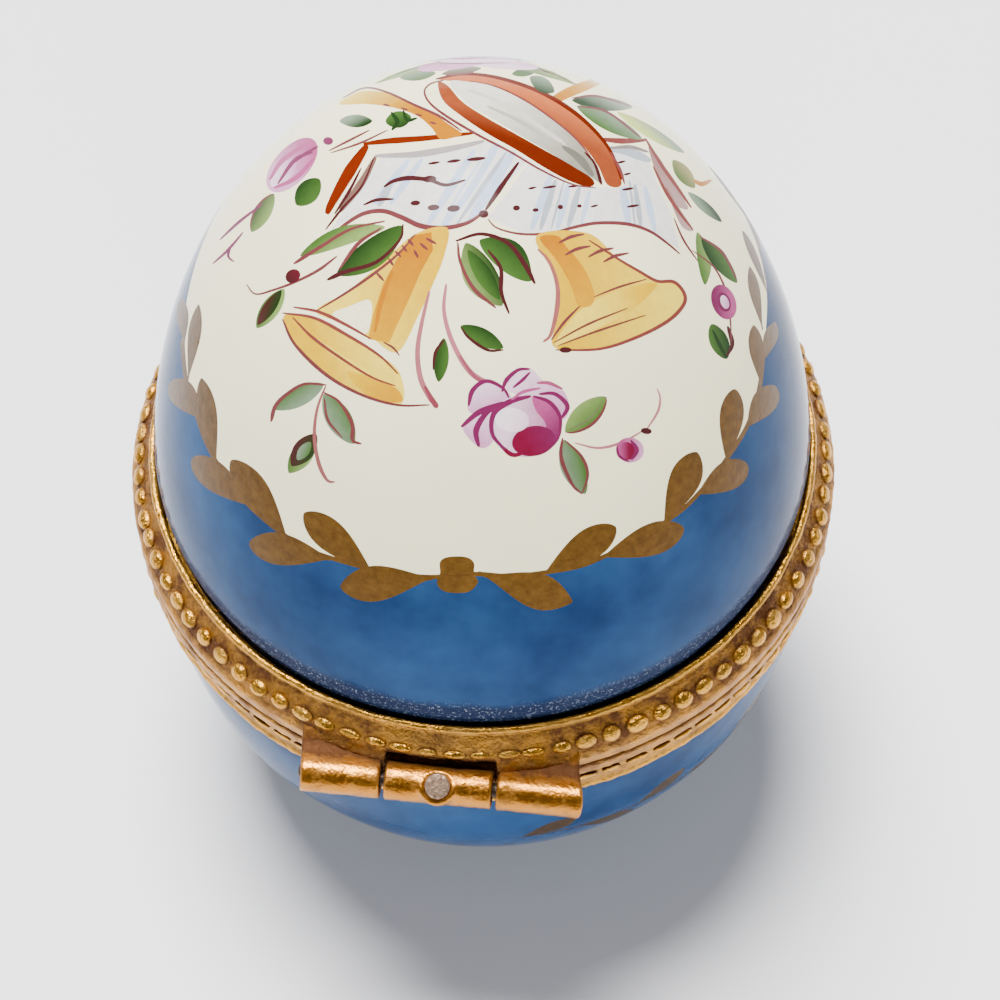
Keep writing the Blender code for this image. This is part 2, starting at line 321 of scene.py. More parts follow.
def stroke(points, width, colour=OUTLINE, heavy=0.5, carry=seen):
    """A brush line that swells and thins out. heavy says where it is thickest, from 0 to 1."""
    line = smooth_line(points)
    along = np.linspace(0, 1, len(line))
    way = np.gradient(line, axis=0)
    side = np.stack([-way[:, 1], way[:, 0]], 1) / np.maximum(np.hypot(way[:, 0], way[:, 1]), 1e-9)[:, None]
    rest = np.where(along < heavy, along / max(heavy, 1e-3), (1 - along) / max(1 - heavy, 1e-3))
    half = width / 2 * (0.3 + 0.7 * np.sqrt(rest.clip(0, 1)))[:, None]
    lid_wall.lay(carry(np.concatenate([line + side * half, (line - side * half)[::-1]])), colour)


def leaf_outline(base, tip, width, bend=0.0, full=1.0, blunt=0.8):
    """A leaf from its base to its tip. full moves its widest part, blunt rounds its tip."""
    base, tip = np.array(base, float), np.array(tip, float)
    way = tip - base
    length = np.linalg.norm(way)
    side = np.array((-way[1], way[0])) / length
    share = (1 - np.cos(np.linspace(0, math.pi, max(int(length / 2.4), 9)))) / 2
    half = width / 2 * np.sin(math.pi * share ** full) ** blunt
    middle = base + np.outer(share, way) + np.outer(np.sin(math.pi * share) * bend, side)
    upper = middle + side * half[:, None]
    lower = middle - side * half[:, None]
    return upper, lower


def leaf(base, tip, width, first=DARK_GREEN, second=GREEN, bend=0.0, full=1.0, blunt=0.66,
         edge=None, edge_width=2.4, carry=seen):
    """A painted leaf, shaded across from one side to the other, with a dark line on one side."""
    upper, lower = leaf_outline(base, tip, width, bend, full, blunt)
    middle = len(upper) // 2
    way = carry([upper[middle], lower[middle]])
    lid_wall.lay(carry(np.concatenate([upper, lower[-2:0:-1]])), first, second, way[0], way[1])
    if edge is not None:
        line = upper if edge_width > 0 else lower
        stroke(line[:: max(len(line) // 6, 1)], abs(edge_width), edge, carry=carry)


round_trip = np.linspace(0, 2 * math.pi, 361)[:-1]

# The laurel wreath's line, seen part first, then behind: it also bounds the white reserve on top
LEFT_NODES = [(430, 577), (398, 574), (367, 568), (328, 557), (305, 548), (283, 534), (264, 519), (247, 503),
              (230, 482), (216, 460), (206, 438), (199, 415), (193, 396), (189, 376), (187, 340)]
RIGHT_NODES = [(480, 574), (512, 576), (548, 572), (580, 566), (605, 556), (636, 541), (665, 522), (684, 508),
               (700, 492), (714, 476), (728, 458), (740, 441), (750, 424), (758, 404), (764, 381), (768, 352)]
BEHIND_HEIGHT = 0.0188
BEHIND_START = math.radians(100)
BEHIND_END = math.radians(265)
behind_turn = np.linspace(BEHIND_START, BEHIND_END, 18)
behind = lid_wall.plane(behind_turn, np.full(18, MEETING_Z + BEHIND_HEIGHT))
border = smooth_line(np.concatenate([seen(RIGHT_NODES), behind, seen(LEFT_NODES)[::-1]]), True, 0.0003)
lid_wall.lay(border, WHITE, paint=0.0)

# The open music book, with its covers showing at the sides
BROWN_RED = linear(130, 70, 66)
MAUVE_BROWN = linear(150, 112, 108)
patch([(392, 158), (450, 150), (505, 140), (540, 160), (514, 186), (495, 213), (470, 225), (440, 228),
       (412, 220), (390, 211), (366, 214), (338, 232)], PAGE, soft=False)
for top, foot, width, tone in (((510, 143), (452, 226), 13, PAGE_BLUE), ((526, 150), (478, 222), 12, PAGE_BLUE),
                               ((486, 150), (437, 224), 9, PAGE_BLUE), ((518, 152), (466, 224), 5, PAGE_GREY),
                               ((434, 158), (400, 204), 7, PAGE_BLUE), ((420, 160), (384, 204), 8, PAGE_BLUE),
                               ((500, 152), (458, 214), 3, PAGE), ((402, 182), (388, 206), 8, PAGE_GREY)):
    stroke([top, foot], width, tone)
stroke([(386, 156), (430, 154), (470, 147), (496, 141)], 7, linear(166, 158, 156))
patch([(497, 217), (520, 190), (541, 160), (600, 146), (656, 150), (666, 180), (680, 214), (688, 250),
       (662, 232), (636, 224), (606, 223), (566, 232), (530, 233)], PAGE, soft=False)
for top, foot, width, tone in (((563, 172), (540, 230), 9, PAGE_BLUE), ((566, 180), (549, 230), 7, PAGE_GREY),
                               ((579, 184), (566, 229), 8, PAGE_BLUE), ((590, 186), (577, 227), 7, PAGE_GREY),
                               ((600, 190), (590, 225), 5, PAGE_BLUE), ((574, 182), (560, 229), 3, PAGE_GREY),
                               ((632, 182), (638, 226), 9, PAGE_BLUE), ((645, 184), (650, 228), 6, PAGE_GREY),
                               ((655, 186), (664, 232), 7, PAGE_BLUE), ((640, 180), (644, 226), 3, PAGE_GREY)):
    stroke([top, foot], width, tone)
stroke([(616, 148), (640, 152), (662, 161)], 9, PAGE_GREY, 0.7)
stroke([(375, 144), (400, 141), (440, 138), (486, 133)], 6.5, TERRACOTTA, 0.3)
stroke([(379, 145), (360, 172), (342, 202), (336, 214)], 12, TERRACOTTA, 0.4)
stroke([(387, 157), (371, 184), (349, 212)], 8, linear(128, 98, 88), 0.5)
stroke([(386, 156), (372, 186), (352, 208), (334, 230)], 2.6, DARK_OUTLINE, 0.8)
stroke([(372, 168), (360, 190), (344, 214)], 3.4, DARK_OUTLINE, 0.6)
stroke([(612, 139), (634, 141), (658, 140)], 6, BROWN_RED)
stroke([(622, 148), (642, 147), (660, 152)], 4, linear(140, 130, 126))
patch([(660, 146), (672, 160), (686, 186), (698, 208), (690, 208), (680, 200), (668, 176)], MAUVE_BROWN,
      linear(176, 150, 146))
patch([(676, 186), (690, 210), (702, 230), (692, 228), (684, 212)], MAUVE_BROWN, linear(176, 150, 146))
stroke([(657, 138), (672, 164), (688, 188), (701, 208)], 4.0, BROWN_RED)
stroke([(664, 166), (676, 192), (690, 214), (702, 230)], 3.6, BROWN_RED)
stroke([(336, 240), (352, 226), (372, 214), (392, 211), (410, 217), (430, 226), (452, 228), (476, 223), (495, 211)],
       5.6, heavy=0.6)
stroke([(530, 162), (512, 186), (495, 210)], 5.4, DARK_OUTLINE, 0.6)
stroke([(497, 219), (506, 228), (530, 234), (560, 233), (584, 227), (607, 223), (636, 224), (658, 231), (674, 242),
        (688, 254)], 3.8, heavy=0.7)
stroke([(683, 218), (692, 240), (706, 262)], 2.4)


def oval(centre, long, short, turn, begin=0.0, end=2 * math.pi, count=48):
    """Points round an ellipse of the picture, or along a part of it."""
    angles = np.linspace(begin, end, count, endpoint=end - begin < 6.28)
    across, up = long * np.cos(angles), short * np.sin(angles)
    return np.stack([centre[0] + across * math.cos(turn) - up * math.sin(turn),
                     centre[1] + across * math.sin(turn) + up * math.cos(turn)], 1)


def disc(centre, long, short, turn, first, second, start, end, fine=True):
    """A filled ellipse, blended between two points of the picture."""
    way = seen([start, end])
    lid_wall.lay(seen(oval(centre, long, short, turn)), first, second, way[0], way[1], fine=fine)


# Rows of short marks on the pages, which aren't notes or letters
stroke([(394, 187), (404, 181), (420, 178), (440, 180), (456, 185), (476, 180)], 5.0, DARK_OUTLINE, 0.3)
stroke([(373, 205), (386, 200), (404, 199)], 3.6, DARK_OUTLINE)
for left, row, length, width in ((439, 164, 12, 3.0), (458, 162, 14, 3.6), (478, 160, 19, 4.2), (538, 189, 9, 2.6),
                                 (553, 188, 14, 3.0), (578, 187, 14, 2.6), (632, 190, 12, 3.0), (636, 207, 13, 3.0),
                                 (628, 163, 9, 2.6), (634, 175, 8, 2.6), (600, 207, 8, 2.6)):
    stroke([(left, row), (left + length, row - 2)], width, DARK_OUTLINE)
for across, row, long, short in ((440, 179, 7, 3.4), (425, 203, 5, 2.6), (443, 207.5, 6, 3.0), (463, 208.5, 6.5, 3.4),
                                 (526, 208, 3.6, 2.8), (545, 210, 3.2, 2.0), (570, 207, 2.8, 2.4),
                                 (589, 206, 2.4, 1.8), (493, 214, 5, 4)):
    disc((across, row), long, short, -0.1, DARK_OUTLINE, DARK_OUTLINE, (0, 0), (1, 1), False)

# Two yellow bands that hang behind the book
patch([(352, 104), (372, 92), (396, 92), (420, 101), (446, 114), (464, 126), (474, 134), (464, 138), (452, 139),
       (444, 128), (430, 116), (408, 108), (380, 104)], PALE_YELLOW, ORANGE, (360, 96), (430, 112))
stroke([(356, 98), (378, 88), (400, 92), (428, 105), (452, 116), (474, 131)], 3.0, heavy=0.8)
for across, row in ((396, 104), (414, 108), (428, 114), (442, 122)):
    stroke([(across, row), (across + 7, row + 2)], 2.4)
patch([(562, 100), (580, 88), (606, 79), (622, 80), (606, 88), (582, 98), (570, 103)], ORANGE, YELLOW,
      (566, 98), (618, 80))

# The tambourine: a wooden hoop in terracotta, with a greyish skin stretched over it
HOOP_LIGHT = linear(150, 80, 48)
HOOP_DARK = linear(108, 40, 18)
patch([(439, 91), (446, 81), (470, 75), (500, 75), (530, 83), (562, 97), (588, 114), (612, 136), (626, 158),
       (634, 178), (632, 187), (604, 187), (582, 183), (556, 170), (528, 153), (500, 138), (470, 120), (448, 104)],
      WHITE, fine=False)
patch([(452, 79), (476, 75), (504, 77), (534, 85), (562, 97), (588, 115), (610, 136), (624, 157), (632, 184),
       (618, 185), (608, 164), (590, 140), (566, 119), (536, 100), (500, 86), (474, 82)], PALE_TERRACOTTA, HOOP_LIGHT,
      (600, 120), (590, 140))
stroke([(450, 79), (476, 74), (504, 76), (534, 84), (562, 96), (588, 113), (610, 134), (624, 155), (632, 180)], 4.6,
       HOOP_DARK, 0.6)
patch([(452, 82), (462, 86), (476, 102), (500, 118), (528, 134), (556, 150), (584, 166), (604, 180), (600, 187),
       (580, 181), (556, 168), (528, 150), (500, 134), (474, 116), (456, 100)], HOOP_LIGHT, HOOP_DARK,
      (506, 112), (495, 130))
patch([(464, 82), (484, 82), (508, 86), (536, 99), (564, 118), (588, 139), (604, 161), (612, 183), (606, 180),
       (590, 170), (562, 153), (532, 135), (504, 118), (480, 103)], SKIN_PALE, SKIN_GREY, (505, 95), (590, 158))
stroke([(482, 90), (512, 102), (546, 122), (572, 142)], 5, linear(206, 202, 190))
stroke([(500, 106), (530, 120), (562, 140)], 4, linear(176, 172, 160))
stroke([(556, 128), (572, 140), (584, 154)], 3, linear(204, 200, 188))
stroke([(574, 146), (590, 158), (604, 176)], 8, linear(118, 116, 106), 0.6)
stroke([(484, 81), (508, 86), (536, 99), (564, 118), (588, 139), (604, 161), (611, 184)], 2.2, BROWN_RED)
stroke([(458, 80), (444, 84), (438, 92), (444, 104), (462, 118), (492, 136), (522, 152), (552, 170), (582, 184),
        (606, 188)], 3.0, OUTLINE, 0.3)
stroke([(596, 152), (606, 164), (612, 185)], 3.6, DARK_OUTLINE, 0.9)
stroke([(622, 152), (631, 170), (635, 184)], 3.4, BROWN_RED)

# The left horn: a pale cone with an orange band, and a bell mouth with a drooping lip
patch([(424, 234), (456, 228), (452, 256), (438, 288), (424, 316), (402, 352), (376, 338), (350, 324), (322, 311),
       (354, 291), (388, 264)], PALE_YELLOW, YELLOW, (345, 300), (430, 250))
patch([(376, 300), (377, 318), (370, 334), (350, 324), (338, 314), (356, 306)], WHITE, fine=False)
patch([(420, 236), (440, 232), (441, 250), (428, 272), (417, 296), (404, 322), (394, 343), (373, 339), (379, 314),
       (390, 284), (404, 260)], ORANGE, DEEP_YELLOW, (420, 245), (385, 335), soft=False)
stroke([(400, 270), (388, 300), (380, 332)], 5, ORANGE)
patch([(289, 320), (298, 314), (325, 318), (352, 335), (383, 354), (404, 374), (404, 404), (372, 398), (334, 380),
       (304, 350)], YELLOW, PALE_YELLOW, (330, 370), (380, 352))
patch([(352, 372), (396, 386), (404, 402), (372, 397)], DEEP_YELLOW, YELLOW, (380, 400), (362, 378))
stroke([(318, 338), (346, 358), (374, 374)], 6, PALE_YELLOW)
stroke([(424, 234), (406, 254), (382, 273), (354, 292), (322, 311)], 3.2)
stroke([(299, 307), (325, 312), (350, 324), (376, 339)], 3.8, BROWN_RED)
stroke([(288, 313), (320, 318), (352, 335), (383, 355), (402, 374)], 3.8, BROWN_RED, 0.4)
stroke([(388, 342), (398, 348), (404, 356)], 2.6)
stroke([(298, 317), (317, 337), (345, 358), (375, 377), (399, 386)], 3.4, BROWN_RED, 0.3)
stroke([(288, 319), (300, 345), (330, 375), (365, 395), (400, 405), (432, 405)], 4.0, heavy=0.3)
stroke([(436, 291), (427, 324), (422, 352), (424, 378), (432, 396), (440, 408)], 6.0, linear(170, 108, 114), 0.9)
stroke([(428, 386), (434, 398), (440, 408)], 6.0, linear(140, 72, 84), 0.9)
for left, row, across, fall in ((383, 272, 8, 9), (396, 258, 5, 8), (403, 251, 6, 6), (410, 245, 5, 7),
                                (416, 239, 6, 7), (422, 250, 4, 8), (428, 243, 8, 7), (434, 238, 11, 6)):
    stroke([(left, row), (left + across, row + fall)], 3.2)

# The right horn, its bell turned away
patch([(545, 236), (596, 233), (626, 258), (664, 280), (684, 283), (692, 300), (672, 322), (634, 342), (592, 351),
       (558, 346), (563, 316), (561, 276)], YELLOW, PALE_YELLOW, (580, 290), (680, 300))
patch([(560, 346), (578, 318), (602, 300), (640, 286), (664, 284), (640, 308), (600, 330)], PALE_YELLOW, YELLOW,
      (604, 310), (650, 300))
patch([(548, 238), (566, 236), (574, 246), (588, 263), (597, 280), (601, 297), (596, 306), (584, 305), (577, 284),
       (564, 260)], ORANGE, DEEP_YELLOW, (560, 240), (592, 300))
stroke([(546, 249), (557, 262), (564, 285), (563, 308), (556, 334), (548, 342)], 5.0, linear(160, 98, 92), 0.6)
stroke([(597, 240), (626, 259), (646, 271), (664, 281), (681, 282), (691, 294), (689, 306), (672, 322), (640, 338),
        (604, 349), (560, 350)], 4.0, BROWN_RED)
stroke([(600, 297), (626, 287), (654, 279)], 2.4)
stroke([(562, 346), (600, 332), (652, 315)], 2.4)
stroke([(558, 343), (594, 324), (634, 308)], 2.4)
stroke([(556, 340), (570, 322), (586, 306)], 3.0)
disc((570, 350), 6, 3, 0, DARK_OUTLINE, DARK_OUTLINE, (0, 0), (1, 1), False)
for left, row in ((567, 243), (573, 255), (596, 257), (611, 262)):
    stroke([(left, row), (left + 12, row - 6), (left + 26, row - 9)], 3.6)

# Green leaves with their brown lines, round the horns and the book
leaf((394, 227), (308, 256), 19, GREEN, PALE_GREEN, 5)
leaf((412, 226), (344, 275), 28, DARK_GREEN, GREEN, -4)
stroke([(394, 221), (360, 229), (330, 246), (301, 264)], 4.0, heavy=0.9)
stroke([(412, 224), (408, 240), (384, 262), (352, 272), (334, 280)], 4.6, DARK_OUTLINE, 0.9)
stroke([(390, 228), (366, 244), (346, 270)], 4.0)
leaf((474, 243), (508, 306), 34, PALE_GREEN, DARK_GREEN, 4, blunt=0.7)
leaf((476, 250), (506, 300), 17, GREEN, DARK_GREEN, 0, blunt=0.7)
leaf((488, 240), (538, 281), 32, GREEN, DARK_GREEN, -6, blunt=0.7)
stroke([(466, 242), (468, 262), (480, 288), (502, 308)], 4.4, heavy=0.7)
stroke([(464, 241), (490, 234), (516, 243), (532, 264), (542, 284)], 5.2, DARK_OUTLINE, 0.85)
stroke([(496, 250), (508, 268), (508, 292), (515, 314)], 4.6, DARK_OUTLINE, 0.5)
leaf((466, 326), (508, 348), 18, GREEN, DARK_GREEN)
stroke([(466, 327), (474, 338), (492, 350), (508, 350)], 3.6, DARK_OUTLINE)
leaf((449, 338), (442, 382), 15, DARK_GREEN, GREEN)
stroke([(449, 340), (440, 352), (437, 370)], 3.4, DARK_OUTLINE)
leaf((327, 384), (276, 409), 20, GREEN, GREY_GREEN)
stroke([(330, 385), (308, 384), (290, 394), (278, 406), (273, 422)], 4.2, OUTLINE, 0.9)
leaf((327, 394), (355, 444), 26, GREY_GREEN, GREEN, blunt=0.7)
stroke([(326, 392), (342, 402), (354, 424), (354, 440), (363, 444)], 4.2, OUTLINE, 0.8)
stroke([(327, 398), (330, 420), (344, 438)], 3.0, OUTLINE)
leaf((316, 438), (289, 473), 21, GREEN, PALE_GREEN, blunt=0.7)
leaf((318, 434), (292, 466), 21, DARK_OUTLINE, DARK_GREEN, blunt=0.7)
leaf((312, 442), (298, 460), 11, GREY_GREEN, GREEN)
stroke([(329, 386), (320, 408), (316, 434), (319, 462), (327, 480), (335, 482)], 4.2, linear(150, 92, 92), 0.8)
leaf((291, 289), (262, 328), 18, GREEN, PALE_GREEN)
leaf((288, 290), (263, 325), 12, DARK_OUTLINE, DARK_GREEN)
stroke([(253, 284), (262, 294), (280, 290), (302, 282), (326, 270), (345, 256)], 3.2, heavy=0.8)
disc((300, 276), 8, 6.5, -0.6, DARK_OUTLINE, linear(104, 40, 52), (296, 280), (306, 270), False)
leaf((330, 179), (306, 205), 22, DARK_GREEN, GREEN, blunt=0.6)
leaf((284, 194), (260, 232), 16, DARK_GREEN, PALE_GREEN, edge=OUTLINE)
stroke([(272, 204), (248, 222), (228, 240)], 3.2, PUCE)
stroke([(252, 232), (236, 250), (220, 264)], 3.0, PUCE)
stroke([(240, 244), (236, 256), (242, 262)], 3.0, PUCE)
leaf((352, 121), (385, 121), 13, DARK_GREEN, GREY_GREEN)
leaf((398, 122), (424, 117), 17, DARK_GREEN, GREEN, blunt=0.6)
stroke([(404, 112), (410, 122), (404, 130)], 5, DARK_GREEN)
stroke([(416, 110), (420, 120), (430, 118)], 4, DARK_GREEN)
stroke([(340, 151), (362, 140), (382, 130)], 2.6)
stroke([(342, 153), (372, 143), (400, 130)], 2.4)
disc((340, 141), 5, 4, 0, PUCE, PUCE, (0, 0), (1, 1), False)
leaf((414, 78), (450, 73), 10, GREEN, GREY_GREEN)
leaf((456, 74), (496, 68), 8, OUTLINE, GREY_GREEN)
leaf((526, 74), (552, 70), 9, GREEN, DARK_GREEN)
leaf((544, 77), (568, 92), 15, DARK_GREEN, GREY_GREEN)
leaf((585, 100), (646, 107), 14, DARK_GREEN, GREY_GREEN)
stroke([(585, 98), (610, 96), (644, 106)], 2.6)
leaf((590, 106), (654, 139), 17, GREEN, GREY_GREEN)
stroke([(590, 106), (620, 112), (652, 137)], 2.6)
leaf((630, 112), (696, 153), 12, linear(196, 208, 120), GREY_GREEN)
leaf((684, 160), (705, 188), 15, GREEN, linear(160, 150, 96))
stroke([(704, 180), (712, 184), (722, 180)], 5, ORANGE)
leaf((698, 192), (731, 222), 10, GREY_GREEN, DARK_GREEN)
leaf((706, 232), (712, 285), 14, GREEN, PALE_GREEN, -3)
leaf((710, 238), (744, 283), 16, DARK_GREEN, GREEN)
stroke([(708, 236), (730, 252), (744, 280)], 3.0, OUTLINE)
leaf((717, 324), (731, 359), 19, GREEN, DARK_GREEN, blunt=0.6)
stroke([(718, 330), (724, 344), (731, 358)], 4, DARK_GREEN)
stroke([(733, 326), (737, 344), (731, 356)], 5, DARK_OUTLINE, 0.4)
stroke([(700, 250), (722, 268), (734, 296), (736, 322), (736, 342)], 2.4)

# The roses in puce, with their buds and stems
DUSKY = linear(176, 112, 122)
disc((730, 302), 18, 12, 1.25, PUCE, ROSE, (722, 300), (738, 304))
disc((730, 302), 10, 6.5, 1.25, PUCE, linear(110, 34, 76), (724, 300), (736, 304), False)
disc((731, 302), 7, 4, 1.25, PALE_PINK, PINK, (728, 300), (734, 304), False)
stroke([(453, 284), (450, 312), (458, 344), (476, 374), (504, 388)], 6.0, DUSKY, 0.8)
stroke([(464, 356), (480, 378), (506, 390)], 4.4, linear(150, 82, 96), 0.8)
patch([(470, 408), (474, 392), (486, 382), (502, 384), (514, 398), (496, 404), (478, 414)], PALE_PINK, PINK,
      (490, 388), (496, 406))
patch([(510, 390), (520, 372), (534, 368), (548, 382), (566, 390), (572, 408), (562, 420), (540, 400)], PALE_PINK,
      PINK, (520, 378), (560, 410))
patch([(464, 426), (482, 410), (504, 404), (500, 430), (490, 446), (478, 446)], PALE_PINK, PINK,
      (486, 410), (478, 440))
disc((526, 426), 35, 31, 0.0, PALE_PINK, ROSE, (505, 420), (560, 424))
patch([(536, 396), (554, 402), (564, 418), (560, 440), (544, 452), (548, 426), (538, 410)], ROSE, PUCE,
      (540, 410), (562, 436))
disc((535, 441), 22, 15, -0.2, CRIMSON, PUCE, (528, 446), (556, 432))
disc((514, 420), 17, 12, 0.1, linear(240, 226, 230), PALE_PINK, (512, 418), (528, 426), False)
stroke([(500, 444), (514, 455), (530, 450)], 5, CRIMSON, 0.4)
stroke([(471, 406), (476, 390), (490, 381), (506, 388), (512, 398)], 5.0, PUCE, 0.2)
stroke([(505, 392), (510, 380), (522, 370), (534, 369)], 4.6, PUCE, 0.3)
stroke([(516, 388), (526, 380), (534, 372)], 3.6, PUCE)
stroke([(540, 383), (552, 383), (566, 389)], 4.0, linear(160, 82, 112))
stroke([(542, 394), (558, 394), (570, 406), (564, 418)], 5.0, PUCE, 0.7)
stroke([(463, 427), (482, 412), (508, 402)], 6.0, PUCE, 0.5)
stroke([(480, 447), (478, 430), (490, 412), (508, 404)], 6.4, PUCE, 0.3)
stroke([(506, 450), (494, 434), (496, 414), (512, 402), (534, 396)], 6.0, PUCE, 0.7)
stroke([(536, 396), (552, 402), (562, 416), (562, 434)], 4.4, PUCE, 0.4)
stroke([(514, 400), (526, 392), (544, 388)], 3.6, ROSE)
leaf((567, 432), (609, 397), 23, GREEN, PALE_GREEN, edge=OUTLINE, edge_width=3.2)
stroke([(570, 430), (590, 420), (604, 404)], 2.2, linear(110, 116, 82))
leaf((565, 440), (585, 494), 24, GREY_GREEN, GREEN, 2)
stroke([(564, 438), (562, 458), (572, 484), (582, 494)], 4.4, OUTLINE, 0.4)
stroke([(566, 440), (582, 456), (588, 474), (582, 494)], 3.4, OUTLINE)
stroke([(576, 443), (600, 448), (624, 442), (646, 430)], 2.8, DUSKY)
stroke([(648, 430), (660, 412), (663, 398), (660, 388)], 2.6, DUSKY)
disc((648, 431), 5.5, 3.2, 0.1, DARK_OUTLINE, DARK_OUTLINE, (0, 0), (1, 1), False)
disc((631, 450), 14, 12.5, 0, ROSE, PINK, (622, 450), (644, 450))
disc((628, 451), 8, 9, 0, CRIMSON, ROSE, (630, 450), (620, 452), False)
stroke([(632, 440), (638, 450), (632, 460)], 4.6, PUCE)
stroke([(618, 446), (620, 456), (630, 462)], 3.0, PUCE)
disc((303, 165), 34, 17, -0.82, PINK, ROSE, (296, 178), (322, 150))
disc((294, 173), 18, 8, -0.82, PALE_PINK, PINK, (290, 178), (304, 164))
stroke([(284, 188), (306, 178), (326, 158)], 5.0, ROSE)
stroke([(280, 180), (294, 160), (318, 144)], 5.0, ROSE)
stroke([(288, 184), (306, 160), (324, 152)], 4.0, PUCE)
stroke([(296, 170), (310, 158), (330, 146)], 3.6, PUCE)

# Roses and leaves on the far side, which the photograph only hints at along its upper edge
FAR_ROSE_HEIGHT = 0.0268
far_turn = np.linspace(0, 2 * math.pi, 9)[:-1]


def far_side(azimuth, height):
    """A frame on the far side of the lid, in millimetres across and up from a point of it."""
    centre = lid_wall.plane(np.array([math.radians(azimuth)]), np.array([MEETING_Z + height]))[0]
    out = centre / np.linalg.norm(centre)
    scale = np.linalg.norm(centre) / lid_radius(height) / 1000
    return lambda points: centre + scale * (np.outer([p[0] for p in points], (-out[1], out[0]))
                                            - np.outer([p[1] for p in points], out))


for azimuth, height, size in ((186, 0.0276, 1.7), (150, 0.0222, 0.8), (222, 0.0226, 0.85)):
    far = far_side(azimuth, height)
    for tip, tone in (((3.6, 1.2), GREEN), ((-3.4, 1.6), DARK_GREEN), ((3.0, -2.6), GREEN),
                      ((-2.8, -2.6), DARK_GREEN)):
        tip = (tip[0] * size, tip[1] * size)
        upper, lower = leaf_outline((0, 0), tip, 1.3 * size)
        lid_wall.lay(far(np.concatenate([upper, lower[-2:0:-1]])), tone, PALE_GREEN)
        line = np.array([(0, 0), (tip[0] * 0.6, tip[1] * 0.5 - 0.2), tip])
        stroke(line, 0.16 * size, OUTLINE, 0.9, far)
    for across, up, long, tones in ((-0.9, 0.5, 1.2, (PALE_PINK, PINK)), (0.9, 0.6, 1.2, (PINK, ROSE)),
                                    (0.0, -0.5, 1.5, (PALE_PINK, ROSE)), (0.3, -0.7, 0.8, (ROSE, PUCE)),
                                    (0.2, -0.9, 0.45, (CRIMSON, PUCE))):
        petal = oval((across * size, up * size), long * size, 0.85 * long * size, 0.3, count=32)
        way = far([(across * size, (up + 0.6) * size), (across * size, (up - 0.8) * size)])
        lid_wall.lay(far(petal), tones[0], tones[1], way[0], way[1], fine=size > 0.9)
    for begin, end in ((160, 330), (-10, 130), (200, 300)):
        stroke(oval((0, -0.4 * size), 1.5 * size, 1.25 * size, 0.2, math.radians(begin), math.radians(end), 9),
               0.2 * size, PUCE, 0.5, far)

# The laurel wreath in burnished gold: leaves in turn on the white and on the blue, from a bow
BLUNT = 1.55


def gold_leaf(base, tip, width, carry=seen, tip_width=0.62, wall=lid_wall):
    """A leaf that widens from a thin foot to a rounded end."""
    base, tip = np.array(base, float), np.array(tip, float)
    way = tip - base
    length = np.linalg.norm(way)
    across = np.array((-way[1], way[0])) / length
    share = (1 - np.cos(np.linspace(0, math.pi, 22))) / 2
    half = width / 2 * np.sin(math.pi * share ** BLUNT) ** tip_width
    half = np.maximum(half, width * 0.06 * (1 - share))
    middle = base + np.outer(share, way)
    outline = np.concatenate([middle + across * half[:, None], (middle - across * half[:, None])[-2::-1]])
    wall.lay(carry(outline), LEAF_GOLD, gold=1.0, paint=0.0)


for nodes in (RIGHT_NODES, LEFT_NODES):
    line = smooth_line([(455, 575)] + nodes)
    way = np.gradient(line, axis=0)
    side = np.stack([-way[:, 1], way[:, 0]], 1) / np.hypot(way[:, 0], way[:, 1])[:, None] * 2.2
    lid_wall.lay(seen(np.concatenate([line + side, (line - side)[::-1]])), LEAF_GOLD, gold=1.0, paint=0.0)
for base, tip, width, end_width in (
        ((432, 578), (340, 587), 36, 0.7), ((372, 572), (304, 513), 31, 0.62), ((330, 559), (249, 543), 32, 0.62),
        ((287, 538), (232, 460), 30, 0.62), ((249, 505), (193, 458), 29, 0.55), ((217, 463), (205, 378), 19, 0.7),
        ((201, 417), (176, 380), 27, 0.5), ((191, 382), (205, 304), 13, 0.8), ((189, 345), (188, 298), 12, 0.7),
        ((478, 573), (573, 602), 36, 0.9), ((545, 573), (616, 527), 31, 0.6), ((603, 557), (684, 528), 32, 0.6),
        ((664, 524), (698, 452), 31, 0.65), ((698, 494), (748, 464), 29, 0.55), ((727, 461), (738, 389), 24, 0.6),
        ((749, 427), (779, 386), 25, 0.6), ((764, 384), (759, 325), 15, 0.7), ((767, 362), (781, 322), 14, 0.7),
        ((768, 330), (757, 266), 11, 0.8)):
    gold_leaf(base, tip, width, tip_width=end_width)
patch_outline = [(440, 562), (448, 557), (466, 557), (474, 563), (474, 574), (478, 582), (468, 592), (446, 592),
                 (437, 584), (440, 573)]
lid_wall.lay(seen(smooth_line(patch_outline, True)), LEAF_GOLD, gold=1.0, paint=0.0)
stroke([(441, 574), (457, 576), (474, 574)], 1.6, linear(96, 66, 30))
BEHIND_LEAF = math.radians(9.4)
behind_ring = lid_radius(BEHIND_HEIGHT)


def behind_frame(points):
    spots = np.array(points, float) / 1000
    return lid_wall.plane(spots[:, 0] / behind_ring, MEETING_Z + BEHIND_HEIGHT + spots[:, 1] * 0.8)


line = np.linspace(BEHIND_START, BEHIND_END, 60) * behind_ring * 1000
strip = np.concatenate([np.stack([line, np.full(60, 0.15)], 1), np.stack([line, np.full(60, -0.15)], 1)[::-1]])
lid_wall.lay(behind_frame(strip), LEAF_GOLD, gold=1.0, paint=0.0)
for number, turn in enumerate(np.arange(BEHIND_START - 0.05, BEHIND_END, BEHIND_LEAF)):
    forward = 1 if turn < math.pi else -1
    outer = number % 2
    foot = np.array((turn * behind_ring * 1000, 0.0))
    reach = (4.4 * forward, -1.3) if outer else (3.1 * forward, 2.9)
    gold_leaf(foot, foot + reach, 2.0, behind_frame)

